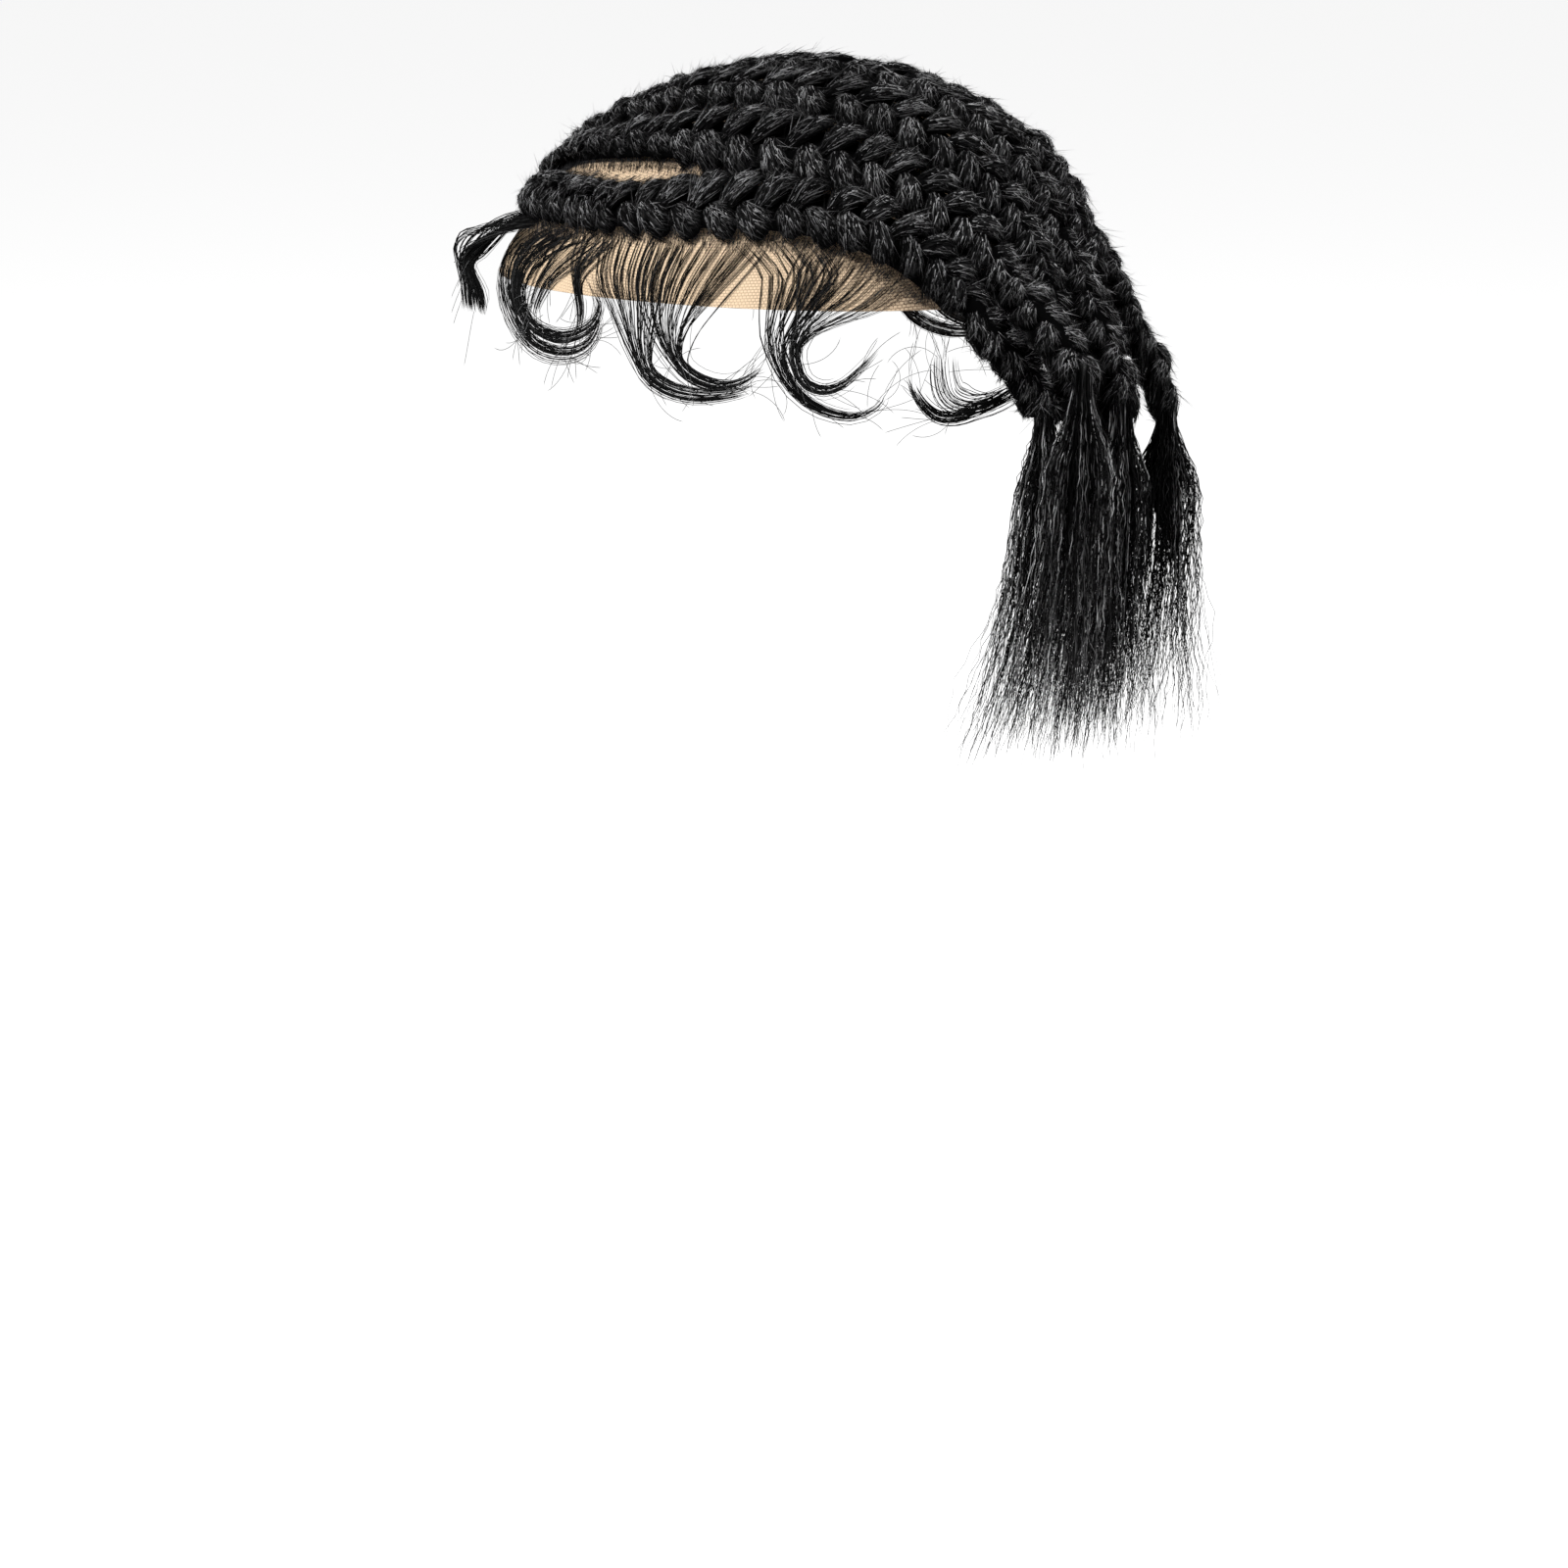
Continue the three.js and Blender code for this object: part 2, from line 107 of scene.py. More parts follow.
# Along every row, by angle from the brow over the crown to the nape (degrees): the angle of the
# outermost row from the middle plane, the width, height and lobe pitch of a row, and how far the hair
# stays short of a row's edge at the hairline, below the part and above it, negative where it is past it
RowSize = namedtuple("RowSize", "over aside width height pitch hairline below above")
ROW_SIZES = [
    RowSize(38, 16.4, 8.2, 6.2, 5.4, -1.4, 0, 3),
    RowSize(44, 24, 10.4, 6.8, 5.8, -4.4, -1, 3.8),
    RowSize(50, 31, 13, 6.8, 6.2, -3.8, -0.6, 4.4),
    RowSize(64, 41.5, 17.6, 6.4, 7.4, 0.6, 0, 3.6),
    RowSize(80, 45.5, 20.6, 6, 9.4, 3.6, 0, 1.6),
    RowSize(96, 45.7, 23.2, 6, 10.8, 5, 0.6, 0.4),
    RowSize(108, 43.2, 22.8, 6.4, 10.6, 4.6, 0.8, 0),
    RowSize(120, 38.8, 20.4, 7.4, 9.8, 2.6, 0.4, 0),
    RowSize(132, 33.2, 17.2, 9.6, 9, 0.4, 0, 0),
    RowSize(144, 28.2, 15, 10, 8.4, 0, 0, 0),
    RowSize(157, 23.4, 12.3, 10, 8, 0, 0, 0),
]

# Rows: share of the outermost row's angle, the angle over the dome where the row leaves the base,
# the neck where its plait is tied off, and the tip and girth of the loose brush below the neck
Row = namedtuple("Row", "name share end neck tip girth")
ROWS = [
    Row("left_side", 1, 157, (19, 88.5, -97), (30, 76, -193), 12.5),
    Row("left_mid", 2 / 3, 150, (28.5, 105.5, -85), (29, 97, -186), 16),
    Row("left_top", 1 / 3, 157, (9, 94, -98), (11, 86, -184), 12),
    Row("centre", 0, 150, (2.5, 105.5, -98), (6, 100, -186), 14.5),
    Row("right_top", -1 / 3, 157, (-7.5, 96, -98), (-9, 89, -183), 12),
    Row("right_mid", -2 / 3, 150, (-24, 107, -101), (-26, 102, -188), 17),
    Row("right_side", -1, 157, (-19, 88.5, -97), (-26, 82, -184), 14),
]

# Edge curls of the left side, the right ones mirrored. Each band gathers small locks that root along
# the hairline between two angles around the dome, and runs to a hooked tip by angle around the dome
# from the brow (degrees), drop below the crown, width of the band and rise off the dome. The share
# of its width in which a band stands off the dome is its stand, nothing where it lies flat
CURL_RISE = 1.4
Curl = namedtuple("Curl", "name bands")
Band = namedtuple("Band", "locks roots stand places")
Place = namedtuple("Place", "around drop width rise", defaults=[CURL_RISE])
CURLS = [
    Curl("brow", [
        Band(12, (16, 44), 0.9, [
            Place(28, 41.2, 6, 2.5),
            Place(28, 43.5, 9, 8.6),
            Place(28, 47.5, 8.5, 12.6),
            Place(28, 52.5, 6, 13.6),
            Place(28, 56.5, 5.6, 11.8),
            Place(28, 63.5, 8, 7.4),
            Place(28, 72, 9, 4.2),
        ]),
        Band(44, (22, 42), 0.9, [
            Place(28, 50, 6, 1.2),
            Place(28, 50.6, 8, 6),
            Place(28, 53.4, 7, 10),
            Place(28, 57, 5, 10.8),
            Place(28, 64, 7, 7.2),
            Place(28, 72.5, 8, 4),
        ]),
    ]),
    Curl("temple", [
        Band(20, (46, 64), 0, [
            Place(54, 44, 4),
            Place(45.6, 48.6, 3.2),
            Place(42.3, 56, 2.8),
            Place(44.6, 62, 2.6),
            Place(49.7, 67.5, 2.6),
            Place(56.6, 71.2, 2.6),
            Place(64, 72.7, 2.8),
            Place(69.3, 71.2, 2.8),
            Place(73.2, 68, 2.6),
            Place(74.5, 63.4, 2),
            Place(73, 60, 1.4),
            Place(69.4, 57.2, 0.7),
        ]),
        Band(16, (34, 60), 0, [
            Place(46, 43, 8),
            Place(35.5, 51.5, 7),
            Place(36.5, 57.5, 6),
            Place(42.5, 63.6, 5.6),
            Place(49, 70, 5.2),
            Place(55.5, 75.2, 4.6),
            Place(61.5, 77.2, 4.2),
            Place(67.3, 77, 3.8),
            Place(71.8, 75, 3.2),
            Place(74.3, 71.5, 2.6),
            Place(75.2, 67, 1.8),
            Place(74.4, 63, 0.9),
        ]),
        Band(10, (60, 73), 0, [
            Place(65.3, 44, 6),
            Place(64.4, 50, 4),
            Place(65, 55.4, 3),
            Place(68.5, 63, 3),
            Place(69.5, 68, 2),
            Place(68.5, 72, 1.2),
        ]),
        Band(11, (52, 72), 0, [
            Place(61, 44.5, 11),
            Place(57, 50.3, 11),
            Place(54.5, 56, 10),
            Place(53.5, 62.3, 8),
            Place(53.5, 68.5, 5),
        ]),
    ]),
    Curl("side", [
        Band(26, (69, 93), 0, [
            Place(80, 43, 10),
            Place(80.5, 54, 9),
            Place(83.5, 62, 7),
            Place(86.5, 72, 5),
            Place(90, 80, 4.6),
            Place(95.5, 84, 4.4),
            Place(102.3, 85.3, 4),
            Place(109.8, 84, 3),
            Place(115, 82, 1.6),
        ]),
        Band(28, (84, 114), 0, [
            Place(98, 42, 13),
            Place(94.5, 54, 8),
            Place(94, 65, 5),
            Place(96.6, 74.4, 4),
            Place(101, 79.5, 4),
            Place(107, 81.6, 3.4),
            Place(112.4, 79.8, 2.4),
            Place(116.7, 75.5, 1),
        ]),
    ]),
    Curl("ear", [
        Band(16, (106, 126), 0, [
            Place(114, 42, 9),
            Place(121, 50.5, 4),
            Place(119.8, 60, 4.2),
            Place(118.6, 69, 3.8),
            Place(121, 78.5, 3),
            Place(125.3, 85.2, 2.4),
            Place(130, 88.6, 2),
            Place(134.7, 89.4, 1.6),
            Place(138.5, 86.3, 1.2),
            Place(139.6, 83, 0.8),
        ]),
        Band(22, (124, 144), 0, [
            Place(139, 45, 8),
            Place(134.4, 52, 7),
            Place(129.2, 58, 5.2),
            Place(124.8, 64, 3.8),
            Place(122.6, 71, 3.2),
            Place(124.2, 79, 2.8),
            Place(128, 82, 2.6),
            Place(131.8, 80.6, 2.2),
            Place(135.4, 75.9, 1.6),
            Place(139.3, 69, 0.8),
        ]),
    ]),
    Curl("nape", [
        Band(15, (161, 166), 0, [
            Place(164, 86, 4.5, 2.2),
            Place(159.5, 88.5, 4.5, 2),
            Place(156, 89.6, 4.4),
            Place(152.5, 90.6, 4),
            Place(149.4, 90, 3.6),
            Place(147, 87, 3),
            Place(145.2, 82.6, 2.4),
            Place(144, 77.4, 1.6),
        ]),
        Band(12, (162, 166), 0, [
            Place(164.5, 84.5, 4, 2.2),
            Place(159.5, 86.5, 5, 2),
            Place(155, 87, 6),
            Place(151.6, 84.6, 7),
            Place(150.4, 79, 7),
            Place(150.4, 69.9, 6),
        ]),
    ]),
]


# Settings

class LaceSettings(bpy.types.PropertyGroup):
    """Size and colour of the lace base."""

    net_cell: FloatProperty(
        name="Net cell", description="Distance between the threads of the net",
        default=0.0012, min=0.0004, unit="LENGTH",
    )
    thread: FloatVectorProperty(
        name="Thread", description="Colour of the net's threads",
        default=(0.16, 0.10, 0.06), subtype="COLOR", size=3,
    )
    ground: FloatVectorProperty(
        name="Ground", description="Colour between the threads",
        default=(0.7, 0.525, 0.35), subtype="COLOR", size=3,
    )


class BraidSettings(bpy.types.PropertyGroup):
    """Fibres of the braided rows and plaits."""

    fibre_radius: FloatProperty(
        name="Fibre radius", description="Half the thickness of a fibre",
        default=0.00015, min=0.00003, unit="LENGTH",
    )
    fibres_per_lobe: IntProperty(
        name="Fibres per lobe", description="Fibres combed over a lobe of the usual size",
        default=260, min=0,
    )
    frizz: FloatProperty(
        name="Frizz", description="How far the ends of the fibres usually lift",
        default=0.0008, min=0, unit="LENGTH",
    )
    # Shine and Light are painted highlights: the share of fibres painted light, and the grey painted into
    # the black hair where it would gleam
    shine: FloatProperty(
        name="Shine", description="Share of the fibres that catch the light",
        default=0.41, min=0, max=1, subtype="FACTOR",
    )
    dark: FloatVectorProperty(
        name="Dark", description="Colour of the darkest fibres",
        default=(0.0015, 0.0015, 0.0016), subtype="COLOR", size=3,
    )
    light: FloatVectorProperty(
        name="Light", description="Colour of the lightest fibres",
        default=(0.75, 0.75, 0.76), subtype="COLOR", size=3,
    )


class TailSettings(bpy.types.PropertyGroup):
    """Loose brush below each plait."""

    strands: IntProperty(
        name="Strands", description="Loose strands in each brush",
        default=280, min=1,
    )
    strand_radius: FloatProperty(
        name="Strand radius", description="Half the thickness of a loose strand",
        default=0.00015, min=0.00003, unit="LENGTH",
    )
    crimp: FloatProperty(
        name="Crimp", description="Depth of the zigzag in a loose strand",
        default=0.0005, min=0, unit="LENGTH",
    )


class CurlSettings(bpy.types.PropertyGroup):
    """Combed strands of the edge curls."""

    lock_strands: IntProperty(
        name="Strands per lock", description="Strands in each small lock of a curl", default=4, min=1,
    )
    strand_radius: FloatProperty(
        name="Strand radius", description="Half the thickness of a combed strand",
        default=0.00011, min=0.00003, unit="LENGTH",
    )
    flyaways: IntProperty(
        name="Flyaways", description="Single strands that stray from each band",
        default=16, min=0,
    )


class StageSettings(bpy.types.PropertyGroup):
    """Camera, floor and lights."""

    azimuth: FloatProperty(
        name="Azimuth", description="Direction of the camera round the object, from the front",
        default=math.radians(121), subtype="ANGLE", unit="ROTATION",
    )
    elevation: FloatProperty(
        name="Elevation", description="Height of the camera above the level",
        default=math.radians(9), subtype="ANGLE", unit="ROTATION",
    )
    tilt: FloatProperty(
        name="Tilt", description="How far the camera looks below the middle of the dome",
        default=math.radians(5.13), subtype="ANGLE", unit="ROTATION",
    )
    distance: FloatProperty(
        name="Distance", description="From the camera to the middle of the dome",
        default=1.35, unit="LENGTH",
    )
    lens: FloatProperty(
        name="Lens", description="Focal length of the camera in millimetres", default=100.2,
    )
    floor_drop: FloatProperty(
        name="Floor drop", description="From the crown down to the floor", default=0.44, unit="LENGTH",
    )


class ToupeeSettings(bpy.types.PropertyGroup):
    """All settings of the toupee."""

    lace: PointerProperty(type=LaceSettings)
    braid: PointerProperty(type=BraidSettings)
    tail: PointerProperty(type=TailSettings)
    curl: PointerProperty(type=CurlSettings)
    stage: PointerProperty(type=StageSettings)


# Shaping on the dome

def unit(vectors):
    """Vectors of length 1 in the same directions."""
    return vectors / np.maximum(np.linalg.norm(vectors, axis=-1, keepdims=True), 1e-9)


def smooth(share):
    """Eased step from 0 to 1."""
    share = np.clip(share, 0, 1)
    return share * share * (3 - 2 * share)


def ramp(values, low, high):
    """Eased step from 0 at a low value to 1 at a high one."""
    return smooth((values - low) / (high - low))


def look_up(keys, values, at):
    """Values of a table column at the given keys, eased smoothly between its rows."""
    keys = np.asarray(keys, float)
    values = np.asarray(values, float)
    last = len(keys) - 1
    before = np.maximum(np.arange(last + 1) - 1, 0)
    after = np.minimum(np.arange(last + 1) + 1, last)
    slopes = (values[after] - values[before]) / (keys[after] - keys[before])
    i = np.clip(np.searchsorted(keys, at, side="right") - 1, 0, last - 1)
    span = keys[i + 1] - keys[i]
    t = np.clip((at - keys[i]) / span, 0, 1)
    leave = span * slopes[i] * t * (1 - t) ** 2
    arrive = span * slopes[i + 1] * t * t * (1 - t)
    return values[i] * (1 - smooth(t)) + values[i + 1] * smooth(t) + leave - arrive


def table_column(table, column, at):
    """A column of a table where its first column has the given values."""
    return look_up([line[0] for line in table], [getattr(line, column) for line in table], at)


def row_size(column, over):
    """A column of the row table at angles over the dome."""
    return table_column(ROW_SIZES, column, over)


def dome_point(direction, rise):
    """Point in a direction from the middle of the dome, a given rise outside it."""
    rise = np.broadcast_to(rise, direction.shape[:-1])
    halves = np.array([HALF_BREADTH, HALF_LENGTH, DOME_HEIGHT]) + rise[..., None]
    level = (np.abs(direction / halves) ** DOME_POWER).sum(axis=-1, keepdims=True)
    point = direction * level ** (-1 / DOME_POWER)
    high = np.maximum(point[..., 2], 0) / (DOME_HEIGHT + rise)
    point[..., 1] += CROWN_SHIFT * (high * high - 1)
    point[..., 2] -= DOME_HEIGHT
    return point


def on_dome(point, rise):
    """The point straight out from the middle of the dome through a given one, at a given rise."""
    rise = np.broadcast_to(rise, point.shape[:-1])
    up = point[..., 2] + DOME_HEIGHT
    high = np.maximum(up, 0) / (DOME_HEIGHT + rise)
    back = point[..., 1] - CROWN_SHIFT * (high * high - 1)
    return dome_point(unit(np.stack([point[..., 0], back, up], axis=-1)), rise)


def around_dome(degrees, drop, rise):
    """Place on the dome by angle around it from the brow and drop below the crown."""
    angle = np.radians(degrees)
    up = DOME_HEIGHT - drop
    level = (
        np.abs(np.sin(angle) / (HALF_BREADTH + rise)) ** DOME_POWER
        + np.abs(np.cos(angle) / (HALF_LENGTH + rise)) ** DOME_POWER
    )
    high = np.abs(up / (DOME_HEIGHT + rise)) ** DOME_POWER
    reach = ((1 - high) / level) ** (1 / DOME_POWER)
    flat = np.stack([reach * np.sin(angle), -reach * np.cos(angle), up], axis=-1)
    return dome_point(unit(flat), rise)


def row_point(share, over, rise):
    """Place on a row by angle over the dome."""
    aside = np.radians(share * row_size("aside", over))
    angle = np.radians(over)
    direction = np.stack([
        np.sin(aside),
        -np.cos(aside) * np.cos(angle),
        np.cos(aside) * np.sin(angle),
    ], axis=-1)
    return dome_point(direction, rise)


class Track:
    """Run of a braid from the hairline over the base and down its free plait to the neck.

    Places are given by the distance along the run, aside of its middle and above its bed."""

    STEPS = 160

    def __init__(self, row):
        over = np.linspace(ROW_START, row.end, self.STEPS)
        seat = row_point(row.share, over, ROW_SEAT)
        up = unit(row_point(row.share, over, ROW_SEAT + 1) - seat)
        width, height, pitch = [row_size(column, over) for column in ("width", "height", "pitch")]
        plait = self.plait(seat[-1], unit(seat[-1] - seat[-2]), up[-1], height[-1], row.neck)
        # The plait takes its own size over its first third and narrows to the neck over its last quarter
        t = np.linspace(0, 1, self.STEPS)[1:]
        ease = np.clip(t * 3, 0, 1)
        tie = np.clip(t * 4 - 3, 0, 1)
        wide = width[-1] + (TAIL_WIDTH - width[-1]) * ease
        tall = height[-1] + (TAIL_HEIGHT - height[-1]) * ease
        self.width = np.append(width, wide + (NECK_WIDTH - wide) * tie)
        self.height = np.append(height, tall + (NECK_WIDTH - tall) * tie)
        self.pitch = np.append(pitch, pitch[-1] + (TAIL_PITCH - pitch[-1]) * ease)
        carried = [up[-1]]
        for direction in unit(np.diff(plait, axis=0)):
            carried.append(unit(carried[-1] - direction * np.dot(carried[-1], direction)))
        self.up = np.concatenate([up, carried[1:]])
        beds = plait[1:] - self.up[self.STEPS:] * self.height[self.STEPS:, None] / 2
        self.middle = np.concatenate([seat, beds])
        self.along = unit(np.gradient(self.middle, axis=0))
        self.up = unit(self.up - self.along * (self.up * self.along).sum(axis=1, keepdims=True))
        self.aside = np.cross(self.up, self.along)
        steps = np.linalg.norm(np.diff(self.middle, axis=0), axis=1)
        self.distance = np.append(0, np.cumsum(steps))
        self.over = np.append(over, np.full(self.STEPS - 1, float(row.end)))
        self.share = row.share
        self.leaves = self.distance[self.STEPS - 1]
        self.length = self.distance[-1]

    def plait(self, seat, along, up, height, neck):
        """Middle of the free plait: it leaves along the row and reaches the neck from straight above."""
        start = seat + up * height / 2
        neck = np.array(neck, float)
        reach = np.linalg.norm(neck - start) / 3
        leave = start + along * reach
        arrive = neck + np.array([0, 0, reach])
        t = np.linspace(0, 1, self.STEPS)[:, None]
        return (
            start * (1 - t) ** 3 + leave * 3 * t * (1 - t) ** 2
            + arrive * 3 * t * t * (1 - t) + neck * t ** 3
        )

    def size(self, column, distance):
        """Width, height, pitch or angle over the dome at distances along the run."""
        return np.interp(distance, self.distance, getattr(self, column))

    def direction(self, column, distance):
        """Middle, along, up or aside at distances along the run."""
        columns = getattr(self, column).T
        return np.stack([np.interp(distance, self.distance, values) for values in columns], axis=-1)

    def bare_edges(self, side):
        """Whether a side faces the hairline, and whether it faces the part inside the outermost row."""
        outer = np.less(side * self.share, 0)
        if abs(self.share) == 1:
            return outer, ~outer
        next_to_outermost = abs(self.share) > 0.5
        return np.zeros_like(outer), outer & next_to_outermost

    def trim(self, distance, side):
        """How far the hair stays short of the row's edge on a side."""
        over = self.size("over", distance)
        at_hairline, at_part = self.bare_edges(side)
        by_part = row_size("below" if abs(self.share) == 1 else "above", over)
        return np.where(at_hairline, row_size("hairline", over), np.where(at_part, by_part, 0))

    def place(self, distance, aside, rise):
        """Points at distances along the run, aside of its middle and above its bed."""
        flat = self.direction("middle", distance) + self.direction("aside", distance) * aside[..., None]
        free = flat + self.direction("up", distance) * rise[..., None]
        bound = on_dome(flat, ROW_SEAT + rise)
        return np.where((distance > self.leaves)[..., None], free, bound)


# Pieces gathered from many copies of one master

Master = namedtuple("Master", "offset station corners sizes")

# Finishes of a piece by their order: fibres, with highlights painted into their tone, and the dark hair
# under them
FIBRE = 0
CORE = 1


def take_master(piece):
    """A modelled object as a master, its stations one unit apart along Z, and the object removed."""
    mesh = piece.data
    places = np.array([vertex.co for vertex in mesh.vertices])
    corners = [np.array(face.vertices) for face in mesh.polygons]
    master = Master(
        np.round(places[:, :2], 6),
        np.round(places[:, 2] + 0.5).astype(int),
        np.concatenate(corners),
        np.array([len(face) for face in corners]),
    )
    bpy.data.objects.remove(piece)
    bpy.data.meshes.remove(mesh)
    return master


def spike():
    """Closed three-sided spike from a flat root to a point."""
    bpy.ops.mesh.primitive_cone_add(
        vertices=3, radius1=1, radius2=0, depth=1, end_fill_type="NGON", location=(0, 0, 0),
    )
    return take_master(bpy.context.object)


def spindle(sides, stations):
    """Closed spindle with a point at each end and a ring at every station between them."""
    bpy.ops.mesh.primitive_cone_add(
        vertices=sides, radius1=0, radius2=1, depth=1, end_fill_type="NOTHING", location=(0, 0, 0),
    )
    piece = bpy.context.object
    ring = [vertex.co.z > 0 for vertex in piece.data.vertices]
    bpy.ops.object.mode_set(mode="EDIT")
    bpy.ops.mesh.select_mode(type="VERT")
    bpy.ops.mesh.select_all(action="DESELECT")
    bpy.ops.object.mode_set(mode="OBJECT")
    piece.data.vertices.foreach_set("select", ring)
    bpy.ops.object.mode_set(mode="EDIT")
    for _ in range(stations - 2):
        bpy.ops.mesh.extrude_region_move(TRANSFORM_OT_translate={"value": (0, 0, 1)})
    bpy.ops.mesh.merge(type="CENTER")
    bpy.ops.mesh.select_all(action="SELECT")
    bpy.ops.mesh.normals_make_consistent(inside=False)
    bpy.ops.object.mode_set(mode="OBJECT")
    return take_master(piece)


class Bundle:
    """Points and faces gathered for one piece, with the tone and the grain of every point; the tone also
    carries the highlights painted into the hair.
    """

    GRAIN_STRETCH = 0.16
    GRAIN_APART = 3.7

    def __init__(self):
        self.points = []
        self.corners = []
        self.sizes = []
        self.tones_and_highlights = []
        self.grains = []
        self.finishes = []
        self.count = 0

    def add(self, master, middle, aside, up, tone, finish=FIBRE):
        """Copies of a master, each bent along its own track of stations, toned by copy or by point."""
        copies = len(middle)
        at = master.station
        wide = master.offset[:, :1]
        tall = master.offset[:, 1:]
        points = middle[:, at] + wide * aside[:, at] + tall * up[:, at]
        steps = np.linalg.norm(np.diff(middle, axis=1), axis=2)
        reach = np.concatenate([np.zeros((copies, 1)), np.cumsum(steps, axis=1)], axis=1)[:, at]
        grain = np.stack([
            wide[:, 0] * np.linalg.norm(aside, axis=2)[:, at],
            tall[:, 0] * np.linalg.norm(up, axis=2)[:, at],
            reach * self.GRAIN_STRETCH + np.arange(copies)[:, None] * self.GRAIN_APART,
        ], axis=-1)
        firsts = self.count + np.arange(copies)[:, None] * len(at)
        self.points.append(points.reshape(-1, 3))
        self.grains.append(grain.reshape(-1, 3))
        self.tones_and_highlights.append(np.broadcast_to(np.reshape(tone, (copies, -1)), (copies, len(at))).ravel())
        self.corners.append((master.corners + firsts).ravel())
        self.sizes.append(np.tile(master.sizes, copies))
        self.finishes.append(np.full(len(master.sizes) * copies, finish))
        self.count += copies * len(at)

    def add_strands(self, master, middle, out, radius, tone, finish=FIBRE):
        """Copies of a master as round strands, their outer sides turned to the directions out."""
        along = unit(np.gradient(middle, axis=1))
        across = unit(np.cross(out, along))
        outward = np.cross(along, across)
        self.add(master, middle, across * radius, outward * radius, tone, finish)

    def piece(self, name, materials):
        """The gathered copies as one smooth object, in metres."""
        mesh = bpy.data.meshes.new(name)
        corners = np.concatenate(self.corners)
        sizes = np.concatenate(self.sizes)
        starts = np.append(0, np.cumsum(sizes)[:-1])
        mesh.vertices.add(self.count)
        mesh.vertices.foreach_set("co", (np.concatenate(self.points) * MM).ravel())
        mesh.loops.add(len(corners))
        mesh.loops.foreach_set("vertex_index", corners)
        mesh.polygons.add(len(sizes))
        mesh.polygons.foreach_set("loop_start", starts)
        for material in materials:
            mesh.materials.append(material)
        mesh.polygons.foreach_set("material_index", np.concatenate(self.finishes))
        mesh.update(calc_edges=True)
        mesh.shade_smooth()
        # The tone paints the hair's highlights into its colour, besides its tone that differs at random
        tone = mesh.attributes.new("tone", "FLOAT", "POINT")
        tone.data.foreach_set("value", np.concatenate(self.tones_and_highlights))
        grain = mesh.attributes.new("grain", "FLOAT_VECTOR", "POINT")
        grain.data.foreach_set("vector", np.concatenate(self.grains).ravel())
        obj = bpy.data.objects.new(name, mesh)
        bpy.context.collection.objects.link(obj)
        return obj


def settle(piece, node):
    """Puts a finished piece in the place of its solid."""
    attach(piece, "root")
    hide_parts(node)


# Braids

Lobes = namedtuple("Lobes", "centre middle across out area shine")

# Chance in the lobes: limits of their pitch, height and painted highlight as shares of the usual, and the
# spread of their places along the braid and of their lean
LOBE_PITCHES = (0.9, 1.12)
LOBE_HEIGHTS = (0.8, 1.06)
LOBE_SHINES = (0.6, 1.15)
LOBE_SHIFT = 0.06
LOBE_LEAN = 0.13

# Half the thickness of a lobe as a share of the braid's height, on the base and in the free plait, and
# the distances from the edge of the base between which a braid comes free
BOUND_THICK = 0.37
FREE_THICK = 0.28
COMES_FREE = (-10, 4)

# Dark hair under the lobes, as shares of the braid: height of its middle, half its width, half its height
Bed = namedtuple("Bed", "rise wide tall")
ROW_BED = Bed(0.08, 0.46, 0.22)
PLAIT_BED = Bed(0.5, 0.3, 0.3)

# Limits of tone, which paints the highlights: of fibres painted with a highlight, of those left dark, and
# of fine hairs painted with a faint one
HIGHLIGHT_TONES = (0.2, 1)
DARK_TONES = (0, 0.02)
FAINT_HIGHLIGHT_TONES = (0, 0.12)

# Limits of a fibre's radius as shares of the usual, and its two stations as shares of its run
FIBRE_RADII = (0.7, 1.3)
ROOT_TO_TIP = np.array([[0.0, 1.0]])

# Tails draw their chances apart from the rows that they belong to
TAIL_SEED = 100


def lobe_columns(track):
    """Distance of every lobe along a braid, its side, by turns, and its face.

    The lobes on the back of the free plait come after those on the face that shows."""
    centres = [track.pitch[0] / 2]
    while centres[-1] < track.length - TAIL_PITCH / 2:
        centres.append(centres[-1] + track.size("pitch", centres[-1]) / 2)
    centre = np.array(centres[:-1])
    side = np.where(np.arange(len(centre)) % 2 == 0, 1.0, -1.0)
    clear_of_base = 2
    behind = centre > track.leaves + clear_of_base
    face = np.append(np.ones(len(centre)), -np.ones(behind.sum()))
    return np.append(centre, centre[behind]), np.append(side, side[behind])[:, None], face[:, None]


def lobe_form(column):
    """A column of the lobe table at the rings of a lobe."""
    return table_column(LOBE_FORMS, column, LOBE_RUN)


def lobe_spill(track, distance, side):
    """How far lobes reach past the edge of their row: into the next row, or short of a bare part."""
    over = track.size("over", distance)
    at_hairline, at_part = track.bare_edges(side)
    into_next = LOBE_SPILL * ramp(over, *ROWS_MEET)
    inset = PART_INSET * (1 - ramp(over, *PART_CLOSES))
    return np.where(at_hairline, HAIRLINE_SPILL, into_next - np.where(at_part, inset, 0))


